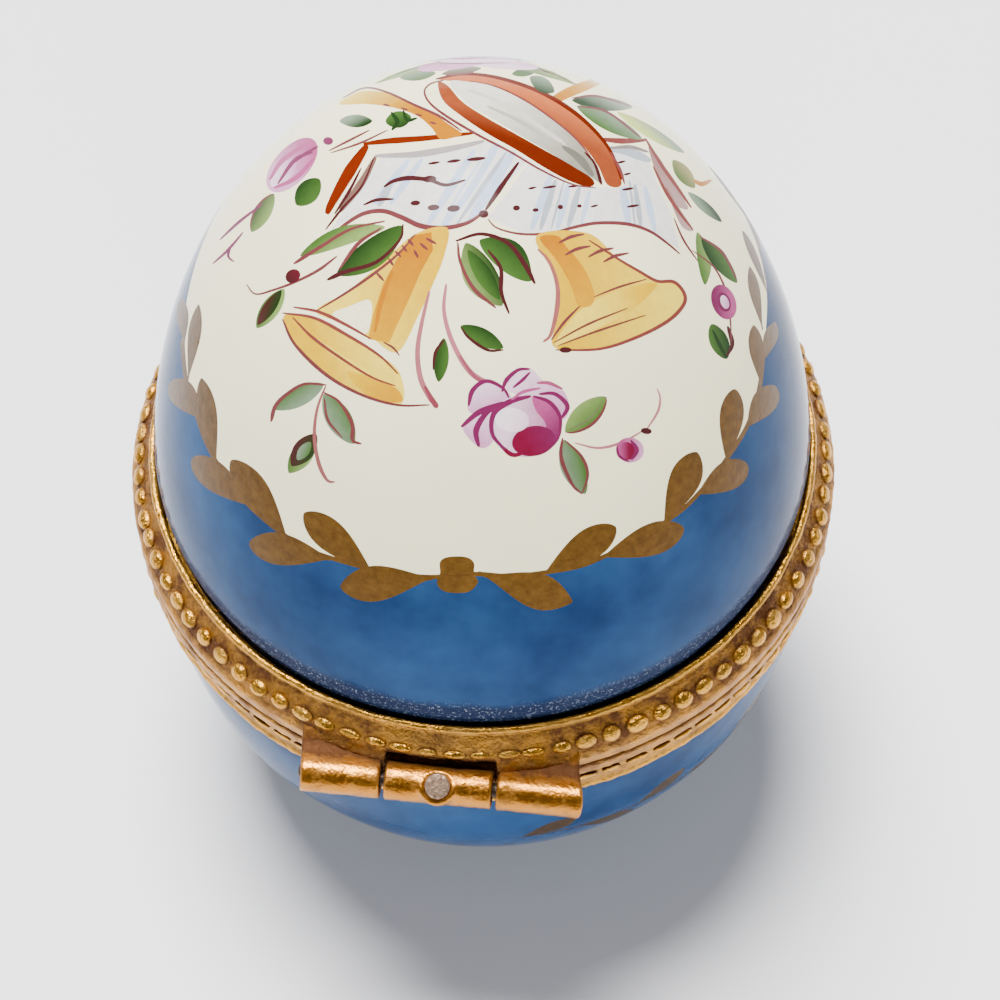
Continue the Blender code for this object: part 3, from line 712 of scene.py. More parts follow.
edge_rows = [(lid_radius(NECK_TOP), MEETING_Z + NECK_TOP, BLUE_LOOK),
             (LID_NECK_RADIUS, MEETING_Z + NECK_TOP * 0.7, BLUE_LOOK),
             (LID_NECK_RADIUS, MEETING_Z + SEAT_DEPTH, PLAIN_LOOK),
             (LID_NECK_RADIUS - WALL, MEETING_Z + SEAT_DEPTH, PLAIN_LOOK)]
for a in np.linspace(0, math.pi / 2, 26)[1:-1]:
    edge_rows.append(((LID_NECK_RADIUS - WALL) * math.cos(a),
                      MEETING_Z + SEAT_DEPTH + (LID_HEIGHT - WALL - SEAT_DEPTH) * math.sin(a), PLAIN_LOOK))
lid = lid_wall.body("painted_lid", edge_rows, GROUND_SPACING, BLUE)


class Shade:
    """A value on its way through a material. Arithmetic on it adds Math nodes."""

    def __init__(self, tree, socket):
        self.tree, self.socket = tree, socket

    def node(self, kind, settings=None, sockets=None, output=0):
        """Add any node: its settings first, then the values or links of its sockets."""
        made = self.tree.nodes.new(kind)
        for name, value in (settings or {}).items():
            if name == "stops":
                while len(made.color_ramp.elements) < len(value):
                    made.color_ramp.elements.new(0.5)
                for element, (place, colour) in zip(made.color_ramp.elements, value):
                    element.position, element.color = place, colour
            else:
                setattr(made, name, value)
        for name, value in (sockets or {}).items():
            if isinstance(value, Shade):
                self.tree.links.new(value.socket, made.inputs[name])
            else:
                made.inputs[name].default_value = value
        return Shade(self.tree, made.outputs[output])

    def maths(self, operation, first, second=0.0):
        return self.node("ShaderNodeMath", {"operation": operation}, {0: first, 1: second})

    def __add__(self, other):
        return self.maths("ADD", self, other)

    __radd__ = __add__

    def __sub__(self, other):
        return self.maths("SUBTRACT", self, other)

    def __rsub__(self, other):
        return self.maths("SUBTRACT", other, self)

    def __mul__(self, other):
        return self.maths("MULTIPLY", self, other)

    __rmul__ = __mul__

    def blend(self, first, second):
        """Two colours mixed by this value."""
        return self.node("ShaderNodeMix", {"data_type": "RGBA"}, {0: self, 6: first, 7: second}, 2)

    def band(self, low, high):
        """This value spread from 0 at low to 1 at high, and held there."""
        return self.node("ShaderNodeMapRange", {}, {0: self, 1: low, 2: high})


def finish(name):
    """A new material, its shader, and the place on the object that its patterns follow."""
    made = bpy.data.materials.new(name)
    made.use_nodes = True
    tree = made.node_tree
    shader = tree.nodes["Principled BSDF"]
    place = Shade(tree, tree.nodes.new("ShaderNodeTexCoord").outputs["Object"])
    return made, shader, place


def noise(place, scale, detail=3.0, roughness=0.5, output=0):
    return place.node("ShaderNodeTexNoise", {}, {"Vector": place, "Scale": scale, "Detail": detail,
                                                 "Roughness": roughness}, output)


def feed(shader, name, value):
    if isinstance(value, Shade):
        value.tree.links.new(value.socket, shader.inputs[name])
    else:
        shader.inputs[name].default_value = value


GLAZE_DEEP = (*linear(14, 46, 84), 1.0)
GLAZE_PALE = (*linear(68, 112, 158), 1.0)
# The dark navy that follows is painted shade and a painted dark reflection of the rim, with dirt.
GLAZE_SHADE_AND_DIRT = (*linear(38, 48, 74), 1.0)


def painted_glaze(name, groove_low, groove_high):
    """Glaze over hand painting: clouded blue, flat white, pigment with brush grain, gold, and painted shade by the
    rim.
    """
    made, shader, place = finish(name)
    paint = place.node("ShaderNodeAttribute", {"attribute_name": "paint"})
    marks = place.node("ShaderNodeAttribute", {"attribute_name": "finish"})
    parts = place.node("ShaderNodeSeparateColor", {}, {0: marks})
    gold = parts
    blue = Shade(place.tree, parts.socket.node.outputs[1])
    pigment = Shade(place.tree, parts.socket.node.outputs[2])
    cloud = noise(place, 95.0, 4.0, 0.55).band(0.36, 0.68)
    streak = noise(place, 420.0, 3.0, 0.6).band(0.3, 0.75)
    clouded = (cloud * 0.55 + streak * 0.25).blend(GLAZE_DEEP, GLAZE_PALE)
    ground = (blue * 0.62).blend(paint, clouded)
    grain = noise(place, 1700.0, 4.0, 0.7).band(0.34, 0.66)
    darker = place.node("ShaderNodeMix", {"data_type": "RGBA", "blend_type": "MULTIPLY"},
                        {0: pigment * 0.25 + gold * 0.9, 6: ground,
                         7: grain.blend((0.62, 0.58, 0.54, 1.0), (1.12, 1.12, 1.12, 1.0))}, 2)
    warm = noise(place, 160.0, 2.0).band(0.35, 0.7)
    toned = (warm * (1 - blue) * (1 - gold) * (1 - pigment) * 0.12).blend(darker, (*linear(214, 208, 190), 1.0))
    height = Shade(place.tree, place.node("ShaderNodeSeparateXYZ", {}, {0: place}).socket.node.outputs[2])
    drift = noise(place, 260.0, 3.0) * 0.0012 - 0.0006
    # A dark band painted where the porcelain tucks into its rim: painted shade and painted reflection, with real dust
    # specks over it.
    groove_shade_and_dust = (height + drift).band(groove_low, groove_high) * blue
    dust = noise(place, 5600.0, 2.0, 0.7).band(0.58, 0.70)
    dusty_shade = (dust * 0.7).blend(GLAZE_SHADE_AND_DIRT, (*linear(172, 182, 198), 1.0))
    feed(shader, "Base Color", (groove_shade_and_dust * 0.9).blend(toned, dusty_shade))
    feed(shader, "Metallic", gold * 0.75)
    feed(shader, "Roughness", 0.09 + gold * 0.22 + groove_shade_and_dust * 0.4)
    shader.inputs["Specular IOR Level"].default_value = 0.035
    ripple = noise(place, 130.0, 2.0) * 0.6 + noise(place, 1500.0, 2.0) * (0.05 + gold * 0.25)
    feed(shader, "Normal", place.node("ShaderNodeBump", {}, {"Strength": 0.12, "Distance": 0.0006,
                                                           "Height": ripple}))
    return made


lid_glaze = painted_glaze("painted_lid_glaze", MEETING_Z + NECK_TOP + 0.0023, MEETING_Z + NECK_TOP + 0.0015)
lid.data.materials.append(lid_glaze)
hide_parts("lid_porcelain")
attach(lid, "lid")

# The base's porcelain: the blunt half of the egg, glazed blue outside and white inside, with a
# plainer gold wreath round it. It stands on a small flat foot that is ground free of glaze.
BASE_RADIUS = 0.0220
BASE_NECK_RADIUS = 0.0213
BASE_GIRDLE_DEPTH = 0.0055
BASE_FULLNESS = 2.4
FOOT_RADIUS = 0.0095
BASE_RIM_HEIGHT = MEETING_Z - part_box("base_rim")[0].z
foot_share = (1 - (FOOT_RADIUS / BASE_RADIUS) ** BASE_FULLNESS) ** (1 / BASE_FULLNESS)
base_full_depth = BASE_GIRDLE_DEPTH + (MEETING_Z - BASE_GIRDLE_DEPTH) / foot_share


def base_radius(depth):
    share = max(depth - BASE_GIRDLE_DEPTH, 0.0) / (base_full_depth - BASE_GIRDLE_DEPTH)
    body = BASE_RADIUS * (1 - share ** BASE_FULLNESS) ** (1 / BASE_FULLNESS)
    blend = min(max((depth - BASE_RIM_HEIGHT - GAP) / NECK_BLEND, 0.0), 1.0)
    return BASE_NECK_RADIUS + (body - BASE_NECK_RADIUS) * math.sqrt(1 - (1 - blend) ** 2)


base_neck = BASE_RIM_HEIGHT + GAP
base_depths = [MEETING_Z - (MEETING_Z - base_neck) * (1 - math.cos(a)) for a in np.linspace(0.02, math.pi / 2, 300)]
foot_radii = list(np.linspace(0.0001, FOOT_RADIUS, 60))
foot_lift = [1e-9 * i for i in range(60)]
base_wall = Porcelain(foot_radii + [base_radius(d) for d in base_depths],
                      foot_lift + [MEETING_Z - d for d in base_depths])
base_wall.lay(base_wall.plane(round_trip, np.full(360, 0.0002)), linear(214, 206, 190), paint=0.0)
BASE_WREATH_DEPTH = 0.0118
base_ring_mm = 1000 * base_radius(BASE_WREATH_DEPTH)


def base_ring(points):
    spots = np.array(points, float)
    return base_wall.plane(spots[:, 0] / base_ring_mm, MEETING_Z - BASE_WREATH_DEPTH + spots[:, 1] / 1000)


BASE_GOLD_START = math.radians(13)
BASE_GOLD_END = math.radians(300)
BASE_LEAF = math.radians(10.6)
line = np.linspace(BASE_GOLD_START, BASE_GOLD_END, 90) * base_ring_mm
strip = np.concatenate([np.stack([line, np.full(90, 0.13)], 1), np.stack([line, np.full(90, -0.13)], 1)[::-1]])
base_wall.lay(base_ring(strip), LEAF_GOLD, gold=1.0, paint=0.0)
for number, turn in enumerate(np.arange(BASE_GOLD_START, BASE_GOLD_END, BASE_LEAF)):
    foot = np.array((turn * base_ring_mm, 0.0))
    gold_leaf(foot, foot + ((3.9, -1.7) if number % 2 else (3.4, 2.2)), 1.9, base_ring, wall=base_wall)

base_rows = [(base_radius(base_neck), MEETING_Z - base_neck, BLUE_LOOK),
             (BASE_NECK_RADIUS, MEETING_Z - base_neck * 0.7, BLUE_LOOK),
             (BASE_NECK_RADIUS, MEETING_Z - SEAT_DEPTH, PLAIN_LOOK),
             (BASE_NECK_RADIUS - WALL, MEETING_Z - SEAT_DEPTH, PLAIN_LOOK)]
for a in np.linspace(0, math.pi / 2, 26)[1:-1]:
    base_rows.append(((BASE_NECK_RADIUS - WALL) * math.cos(a),
                      MEETING_Z - SEAT_DEPTH - (MEETING_Z - WALL - SEAT_DEPTH) * math.sin(a), PLAIN_LOOK))
base = base_wall.body("blue_base", base_rows, GROUND_SPACING * 1.6, BLUE)
base_glaze = painted_glaze("blue_base_glaze", MEETING_Z - base_neck - 0.0009, MEETING_Z - base_neck + 0.0002)
base.data.materials.append(base_glaze)
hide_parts("base_porcelain")
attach(base, "base")

# The lid's rim: a pressed brass band, fire gilt, rolled over the porcelain's edge, with a thin
# bright fillet, a dark channel and a row of beads. The hinge's two outer knuckles are soldered to
# it by curved leaves, and it is cut back over the middle knuckle to leave room for it.
RIM_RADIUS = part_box("lid_rim")[1].x
LAND_HEIGHT = 0.00115
CHANNEL_DEPTH = 0.0003
FILLET_WIDTH = 0.0005
LEDGE_WIDTH = 0.0019
LEDGE_THICKNESS = 0.0006
LID_BORE = 0.02105
LID_FILLET = 0.02155
BARREL_RADIUS = 0.0012
PIN_RADIUS = 0.00045
KNUCKLE_GAP = 0.00015          # half of the gap between two knuckles
MIDDLE_HALF = 0.0033
OUTER_START = 0.0036
OUTER_END = 0.0086
LID_NOTCH = 0.00195
BASE_NOTCH = 0.0015
HINGE_STEP = 0.0055            # angle between the band's columns near the hinge
FAR_STEP = 0.0150
BEADS = 85
BEAD_LENGTH = 0.00146          # across one bead along the rim
BEAD_WIDTH = 0.00120           # and across the rim
BEAD_LIFT = 0.00036            # how far it stands out of the channel


def band_columns():
    """Angles round the rim from the hinge, close together near the hinge."""
    near = np.arange(-0.45, 0.45, HINGE_STEP)
    far = np.linspace(0.45, 2 * math.pi - 0.45, int((2 * math.pi - 0.9) / FAR_STEP))
    return np.concatenate([near, far[:-1] if abs(far[-1] - 2 * math.pi - near[0]) < 1e-6 else far])


def dense_line(points, step):
    """The same corners with points in between, so that the metal can be uneven."""
    points = np.array(points, float)
    run = []
    for start, end in zip(points, np.roll(points, -1, 0)):
        count = max(int(np.linalg.norm(end - start) / step), 1)
        run.append(start + (end - start) * (np.arange(count) / count)[:, None])
    return np.concatenate(run)


def rough(place, seed, size, amount):
    """A small uneven push, the same on every run."""
    spot = Vector(place) / size + Vector((seed * 7.3, seed * 3.1, seed * 5.7))
    return amount * fractal(spot, 0.6, 2.0, 3)


def band(shape, marks, section, side, notch, notched, seed, channel_darkening):
    """The turned part of a rim, with hand wear, dirt and painted shade. notched(x) says where the hinge needs room."""
    dirt_and_shade_mark, worn_mark, _ = marks
    rows = dense_line(section, 0.00016)
    radii, heights = rows[:, 0], rows[:, 1]
    columns = band_columns()
    grid = []
    for angle in columns:
        near_hinge = math.exp(-(math.atan2(math.sin(angle), math.cos(angle)) / 0.30) ** 2)
        line = []
        for radius, height in zip(radii, heights):
            slope = LAND_HEIGHT + 0.0002 < height and radius > LID_BORE + 0.0002
            land = height <= LAND_HEIGHT + 0.0001 and radius > RIM_RADIUS - CHANNEL_DEPTH
            x, y = radius * math.sin(angle), -radius * math.cos(angle)
            z = side * height
            push = 0.0
            if slope or land:
                push = rough((x, y, z), seed, 0.0016, 0.000045 if slope else 0.00002)
                push += rough((x, y, z * 3), seed + 2, 0.0005, 0.00004)
            wide = 1 + push / radius
            x, y, z = x * wide, y * wide, z + side * push * 0.6
            reach = math.hypot(y - HINGE_Y, z)
            if notched(x) and reach < notch:
                y = HINGE_Y + (y - HINGE_Y) * notch / max(reach, 1e-6)
                z = z * notch / max(reach, 1e-6)
            point = shape.verts.new((x, y, MEETING_Z + z))
            depth = (height - LAND_HEIGHT - CHANNEL_DEPTH / 2) / 0.0018
            # Darker in the channel, and dirt with painted shade round the hinge's notch and on the meeting face.
            point[dirt_and_shade_mark] = (channel_darkening if slope and 0 < depth < 1 else 0.15) * (1 - 0.4 * near_hinge)
            if reach < notch + 0.00012 and notched(x):
                point[dirt_and_shade_mark] = 1.0
            if height < GAP * 0.8:
                point[dirt_and_shade_mark] = 0.3
            low = max(0.0, 1 - abs(height - 0.0016) / 0.0006) if slope else 0.0
            point[worn_mark] = 1.0 if land else max(0.25 * near_hinge, 0.8 * low)
            line.append(point)
        grid.append(line)
    for here, there in zip(grid, grid[1:] + grid[:1]):
        for row in range(len(rows)):
            after = (row + 1) % len(rows)
            shape.faces.new((here[row], there[row], there[after], here[after]))


def knuckle(shape, marks, outline, start, end, skew_start, skew_end, seed, swell=None):
    """A rolled hinge barrel with its leaf: a section across X, with soft ends and a pin hole."""
    dirt_and_shade_mark, worn_mark, copper_mark = marks
    turning = np.sum(outline[:, 0] * np.roll(outline[:, 1], -1) - outline[:, 1] * np.roll(outline[:, 0], -1))
    outline = outline if turning > 0 else outline[::-1]
    way = np.roll(outline, -1, 0) - np.roll(outline, 1, 0)
    inward = np.stack([-way[:, 1], way[:, 0]], 1) / np.hypot(way[:, 0], way[:, 1])[:, None]
    soft = 0.00009
    steps = max(int((end - start) / 0.00016), 4)
    stations = [(start, soft)] + [(x, 0.0) for x in np.linspace(start + soft, end - soft, steps)] + [(end, soft)]
    rings = []
    for x, inset in stations:
        share = (x - start) / (end - start)
        ring_points = []
        for (y, z), (inward_y, inward_z) in zip(outline, inward):
            skew = (skew_start * (1 - share) + skew_end * share) * (z - y) / BARREL_RADIUS
            push = inset + rough((x, y, z), seed, 0.0011, 0.00003) + rough((x * 0.3, y, z), seed + 5, 0.0004, 0.000014)
            lift = swell(x, y, z) if swell else 0.0
            spot = (x + skew, HINGE_Y + y + inward_y * (push - lift), MEETING_Z + z + inward_z * (push - lift))
            point = shape.verts.new(spot)
            # Dirt with painted shade: darker where the leaf meets the barrel and at the ends beside the next knuckle,
            # and a painted shade band along the barrel's lower side.
            fillet = min(max(0.0, 1.35 - abs(y - BARREL_RADIUS * 1.1) / 0.0009), 1.0) if abs(z) > 0.0005 else 0.0
            point[dirt_and_shade_mark] = min(1.0 * fillet + (0.45 if inset else 0.0) + 0.25 * (z < -0.0006), 1.0)
            point[worn_mark] = 0.3 * fillet + (0.4 if inset else 0.05)
            point[copper_mark] = 1.0
            ring_points.append(point)
        rings.append(ring_points)
    for here, there in zip(rings, rings[1:]):
        for step in range(len(outline)):
            after = (step + 1) % len(outline)
            shape.faces.new((here[step], there[step], there[after], here[after]))
    turn = np.linspace(0, 2 * math.pi, 25)[:-1]
    bores = []
    for ring_points, x, skew_here in ((rings[0], start, skew_start), (rings[-1], end, skew_end)):
        hole = []
        for angle in turn:
            y, z = 1.08 * PIN_RADIUS * math.cos(angle), 1.08 * PIN_RADIUS * math.sin(angle)
            point = shape.verts.new((x + skew_here * (z - y) / BARREL_RADIUS, HINGE_Y + y, MEETING_Z + z))
            point[dirt_and_shade_mark] = 1.0
            hole.append(point)
        edges = [shape.edges.new((hole[i], hole[(i + 1) % 24])) for i in range(24)]
        edges += [shape.edges.get((ring_points[i], ring_points[(i + 1) % len(outline)]))
                  for i in range(len(outline))]
        bmesh.ops.triangle_fill(shape, edges=edges, use_beauty=True, use_dissolve=False)
        bores.append(hole)
    for i in range(24):
        shape.faces.new((bores[0][i], bores[0][(i + 1) % 24], bores[1][(i + 1) % 24], bores[1][i]))


def barrel_arc(begin, end, count):
    angles = np.radians(np.linspace(begin, end, count))
    return np.stack([np.cos(angles), np.sin(angles)], 1) * BARREL_RADIUS


def bead_row(height, radius, tilt, worn_turn):
    """Geometry Nodes that set beads round a rim and join them to its band."""
    tree = bpy.data.node_groups.new("beads", "GeometryNodeTree")
    names = (("Band", "NodeSocketGeometry"), ("Count", "NodeSocketInt"), ("Ring Radius", "NodeSocketFloat"),
             ("Ring Height", "NodeSocketFloat"), ("Bead Length", "NodeSocketFloat"),
             ("Bead Width", "NodeSocketFloat"), ("Bead Lift", "NodeSocketFloat"), ("Tilt", "NodeSocketFloat"), ("Worn Turn", "NodeSocketFloat"),
             ("Seed", "NodeSocketInt"), ("Metal", "NodeSocketMaterial"))
    for name, kind in names:
        tree.interface.new_socket(name, in_out="INPUT", socket_type=kind)
    tree.interface.new_socket("Geometry", in_out="OUTPUT", socket_type="NodeSocketGeometry")
    given = tree.nodes.new("NodeGroupInput").outputs
    result = tree.nodes.new("NodeGroupOutput").inputs[0]

    def add(kind, links, settings=None, output=0):
        node = tree.nodes.new(kind)
        for name, value in (settings or {}).items():
            setattr(node, name, value)
        for name, value in links.items():
            if isinstance(value, bpy.types.NodeSocket):
                tree.links.new(value, node.inputs[name])
            else:
                node.inputs[name].default_value = value
        return node.outputs[output]

    def maths(operation, first, second=0.0):
        return add("ShaderNodeMath", {0: first, 1: second}, {"operation": operation})

    ball = add("GeometryNodeMeshUVSphere", {"Segments": 12, "Rings": 7, "Radius": 0.5})
    place = add("GeometryNodeInputPosition", {})
    low = add("ShaderNodeSeparateXYZ", {0: place}, output=2)
    # The foot of each bead, where it sinks into the band, is marked for dirt and painted shade.
    bead_foot_shade_and_dirt = add("ShaderNodeMapRange", {0: low, 1: 0.34, 2: 0.02})
    ball = add("GeometryNodeStoreNamedAttribute", {"Geometry": ball, "Name": "dirt", "Value": bead_foot_shade_and_dirt},
               {"data_type": "FLOAT", "domain": "POINT"})
    size = add("ShaderNodeCombineXYZ", {0: given["Bead Length"], 1: given["Bead Width"],
                                        2: maths("MULTIPLY", given["Bead Lift"], 2.0)})
    lean = add("ShaderNodeCombineXYZ", {0: given["Tilt"]})
    ball = add("GeometryNodeTransform", {"Geometry": ball, "Scale": size, "Rotation": lean})
    index = add("GeometryNodeInputIndex", {})
    jitter = add("FunctionNodeRandomValue", {2: -0.07, 3: 0.07, "Seed": given["Seed"]}, {"data_type": "FLOAT"}, 1)
    order = maths("ADD", maths("ADD", index, 0.5), jitter)
    turn = maths("DIVIDE", maths("MULTIPLY", order, 2 * math.pi), given["Count"])
    across = maths("MULTIPLY", maths("SINE", turn), given["Ring Radius"])
    front = maths("MULTIPLY", maths("COSINE", turn), maths("MULTIPLY", given["Ring Radius"], -1.0))
    spot = add("ShaderNodeCombineXYZ", {0: across, 1: front, 2: given["Ring Height"]})
    points = add("GeometryNodePoints", {"Count": given["Count"], "Position": spot})
    from_hinge = maths("ARCCOSINE", maths("COSINE", turn))
    kept = add("ShaderNodeMapRange", {0: from_hinge, 1: given["Worn Turn"],
                                      2: maths("MULTIPLY", given["Worn Turn"], 1.8), 3: 0.5, 4: 1.0})
    uneven = add("FunctionNodeRandomValue", {0: (0.86, 0.80, 0.70), 1: (1.10, 1.08, 1.12),
                                             "Seed": given["Seed"]}, {"data_type": "FLOAT_VECTOR"}, 0)
    scale = add("ShaderNodeVectorMath", {0: uneven, 1: add("ShaderNodeCombineXYZ", {0: 1.0, 1: kept, 2: kept})},
                {"operation": "MULTIPLY"})
    facing = add("ShaderNodeCombineXYZ", {2: turn})
    beads = add("GeometryNodeInstanceOnPoints", {"Points": points, "Instance": ball, "Rotation": facing,
                                                 "Scale": scale})
    beads = add("GeometryNodeSetShadeSmooth", {"Geometry": add("GeometryNodeRealizeInstances", {"Geometry": beads})})
    joined = tree.nodes.new("GeometryNodeJoinGeometry")
    tree.links.new(given["Band"], joined.inputs[0])
    tree.links.new(beads, joined.inputs[0])
    metal = add("GeometryNodeSetMaterial", {"Geometry": joined.outputs[0], "Material": given["Metal"]})
    tree.links.new(metal, result)
    values = {"Count": BEADS, "Ring Radius": radius, "Ring Height": height, "Bead Length": BEAD_LENGTH,
              "Bead Width": BEAD_WIDTH, "Bead Lift": BEAD_LIFT, "Tilt": tilt, "Worn Turn": worn_turn, "Seed": 4}
    return tree, values


def gilt(name, bright=1.0):
    """Old fire gilding: rubbed gold on the high places, brown patina and painted shade in the low ones, tan where
    worn.
    """
    made, shader, place = finish(name)
    dirt = place.node("ShaderNodeAttribute", {"attribute_name": "dirt"}, {}, 2)
    worn = place.node("ShaderNodeAttribute", {"attribute_name": "worn"}, {}, 2)
    copper = place.node("ShaderNodeAttribute", {"attribute_name": "copper"}, {}, 2)
    blotch = noise(place, 620.0, 4.0, 0.6).band(0.36, 0.66)
    speck = noise(place, 3800.0, 3.0, 0.6).band(0.35, 0.7)
    # Brown patina with painted shade where the marks ask for it, and brown blotches at random.
    patina_and_shade = (dirt * 0.95 + blotch * 0.5 + speck * 0.22 - 0.36).band(0.0, 0.8)
    yellow = (blotch * 0.5 + speck * 0.3).blend((*linear(214, 154, 52), 1.0), (*linear(240, 194, 98), 1.0))
    gold = (copper * 0.65).blend(yellow, (*linear(192, 122, 46), 1.0))
    tan = speck.blend((*linear(168, 122, 84), 1.0), (*linear(206, 160, 112), 1.0))
    rubbed = (worn * (0.35 + blotch * 0.6)).blend(gold, tan)
    feed(shader, "Base Color", patina_and_shade.blend(rubbed, (*linear(108, 68, 28), 1.0)))
    feed(shader, "Metallic", 1 - patina_and_shade * 0.35)
    feed(shader, "Roughness", 0.27 + patina_and_shade * 0.3 + worn * 0.14 + speck * 0.12 + copper * 0.03)
    relief = (noise(place, 1300.0, 3.0, 0.6) * 0.8 + noise(place, 5200.0, 2.0) * 0.35) * (1 - copper * 0.6)
    feed(shader, "Normal", place.node("ShaderNodeBump", {}, {"Strength": 1.0, "Distance": 0.00016,
                                                           "Height": relief}))
    return made


def rim_section(bore, height, fillet):
    channel = RIM_RADIUS - CHANNEL_DEPTH
    return [(bore, height - FILLET_WIDTH / 2), (fillet - FILLET_WIDTH * 0.8, height - FILLET_WIDTH * 0.06),
            (fillet - FILLET_WIDTH * 0.5, height), (fillet - FILLET_WIDTH * 0.2, height - FILLET_WIDTH * 0.1),
            (fillet, height - FILLET_WIDTH * 0.45), (fillet - FILLET_WIDTH * 0.1, height - FILLET_WIDTH * 0.8),
            (fillet - FILLET_WIDTH * 0.3, height - FILLET_WIDTH),
            (channel - 0.0001, LAND_HEIGHT + CHANNEL_DEPTH * 1.9), (channel, LAND_HEIGHT + CHANNEL_DEPTH * 0.7),
            (RIM_RADIUS - CHANNEL_DEPTH / 3, LAND_HEIGHT), (RIM_RADIUS, LAND_HEIGHT - CHANNEL_DEPTH / 2),
            (RIM_RADIUS, GAP), (RIM_RADIUS - GAP / 2, GAP / 2), (bore - LEDGE_WIDTH, GAP / 2),
            (bore - LEDGE_WIDTH, GAP / 2 + LEDGE_THICKNESS), (bore, GAP / 2 + LEDGE_THICKNESS)]


def gathered(name, shape):
    """Turn a build into an object with its metal's outside facing out."""
    bmesh.ops.recalc_face_normals(shape, faces=shape.faces)
    for face in shape.faces:
        face.smooth = True
    mesh = bpy.data.meshes.new(name)
    shape.to_mesh(mesh)
    shape.free()
    made = bpy.data.objects.new(name, mesh)
    bpy.context.scene.collection.objects.link(made)
    return made


def beaded(band_object, height, radius, tilt, worn_turn, metal):
    """Set the beads on a band, and keep the result as one plain mesh."""
    tree, values = bead_row(height, radius, tilt, worn_turn)
    values["Metal"] = metal
    maker = band_object.modifiers.new("beads", "NODES")
    maker.node_group = tree
    for item in tree.interface.items_tree:
        if item.in_out == "INPUT" and item.name in values:
            maker[item.identifier] = values[item.name]
    seen_now = band_object.evaluated_get(bpy.context.evaluated_depsgraph_get())
    mesh = bpy.data.meshes.new_from_object(seen_now)
    band_object.modifiers.clear()
    band_object.data = mesh
    bpy.data.node_groups.remove(tree)


LEAF_LINE = [(0.0001, 0.0012), (0.0005, 0.00108), (0.0009, 0.00094), (0.0013, 0.00090), (0.0018, 0.00104),
             (0.0023, 0.00138), (0.0030, 0.00170)]
leaf_top = smooth_line(np.array(LEAF_LINE) * 1e4, step=1.2) / 1e4
outer_outline = np.concatenate([barrel_arc(5, -268, 46), leaf_top, [(0.0030, 0.0010), (0.0030, GAP * 0.8),
                                                                   (0.0021, GAP * 0.8)]])
rim_shape = bmesh.new()
rim_marks = [rim_shape.verts.layers.float.new(mark) for mark in ("dirt", "worn", "copper")]
band(rim_shape, rim_marks, rim_section(LID_BORE, LID_RIM_HEIGHT, LID_FILLET), 1, LID_NOTCH,
     lambda x: abs(x) < MIDDLE_HALF + KNUCKLE_GAP, 1, 0.72)
knuckle(rim_shape, rim_marks, outer_outline, -OUTER_END, -OUTER_START, 0.00012, 0.0, 11)
knuckle(rim_shape, rim_marks, outer_outline, OUTER_START, OUTER_END, 0.0, 0.00022, 12)
lid_rim = gathered("gilt_lid_rim", rim_shape)
gilt_metal = gilt("old_gilding")
beaded(lid_rim, MEETING_Z + 0.00205, RIM_RADIUS - 0.00062, math.radians(52), 0.27, gilt_metal)
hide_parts("lid_rim")
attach(lid_rim, "lid")

# The base's rim: the matching band below, its beads rubbed nearly flat. The hinge's middle
# knuckle is rolled from the same brass and soldered to it, with a raised collar round the rivet.
BASE_BORE = 0.0216
BASE_FILLET = 0.02275
RIVET_RADIUS = 0.0008
RIVET_TURN = math.radians(30)


def rivet_collar(x, y, z):
    """How far the barrel stands up round the rivet, mostly on its outer side."""
    along = -y * math.sin(RIVET_TURN) + z * math.cos(RIVET_TURN)
    down = -y * math.cos(RIVET_TURN) - z * math.sin(RIVET_TURN)
    if along < 0:
        return 0.0
    reach = math.hypot(x, down)
    lower = min(max(0.45 + down / 0.0012, 0.0), 1.0)
    return (0.00030 * math.exp(-((reach - 0.00098) / 0.0002) ** 2) * lower
            - 0.00022 * max(0.0, min(1.0, (0.00082 - reach) / 0.0001)))


middle_outline = outer_outline * (1, -1)
rim_shape = bmesh.new()
rim_marks = [rim_shape.verts.layers.float.new(mark) for mark in ("dirt", "worn", "copper")]
band(rim_shape, rim_marks, rim_section(BASE_BORE, BASE_RIM_HEIGHT, BASE_FILLET), -1, BASE_NOTCH,
     lambda x: OUTER_START - KNUCKLE_GAP < abs(x) < OUTER_END + KNUCKLE_GAP * 3, 5, 0.4)
knuckle(rim_shape, rim_marks, middle_outline, -MIDDLE_HALF, MIDDLE_HALF, 0.0, 0.0, 15, rivet_collar)
base_rim = gathered("gilt_base_rim", rim_shape)
beaded(base_rim, MEETING_Z - 0.0021, RIM_RADIUS - CHANNEL_DEPTH, math.radians(100), 0.6, gilt_metal)
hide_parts("base_rim")
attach(base_rim, "base")

# The hinge pin: a straight steel wire through all three knuckles, cut off flush at both ends.
# It belongs to the base, and only its two ends show, darkened with age.
pin_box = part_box("hinge_pin")
pin_shape = bmesh.new()
pin_rings = []
PIN_BEVEL = 0.0001
for x, radius in ((pin_box[0].x, 0.7), (pin_box[0].x + PIN_BEVEL, 0.96), (pin_box[0].x + 2 * PIN_BEVEL, 1.0),
                  (pin_box[1].x - 2 * PIN_BEVEL, 1.0), (pin_box[1].x - PIN_BEVEL, 0.96), (pin_box[1].x, 0.7)):
    turn = np.linspace(0, 2 * math.pi, 25)[:-1]
    pin_rings.append([pin_shape.verts.new((x, HINGE_Y + radius * PIN_RADIUS * math.cos(a),
                                           MEETING_Z + radius * PIN_RADIUS * math.sin(a))) for a in turn])
for here, there in zip(pin_rings, pin_rings[1:]):
    for step in range(24):
        pin_shape.faces.new((here[step], there[step], there[(step + 1) % 24], here[(step + 1) % 24]))
pin_shape.faces.new(pin_rings[0])
pin_shape.faces.new(pin_rings[-1][::-1])
pin = gathered("steel_pin", pin_shape)


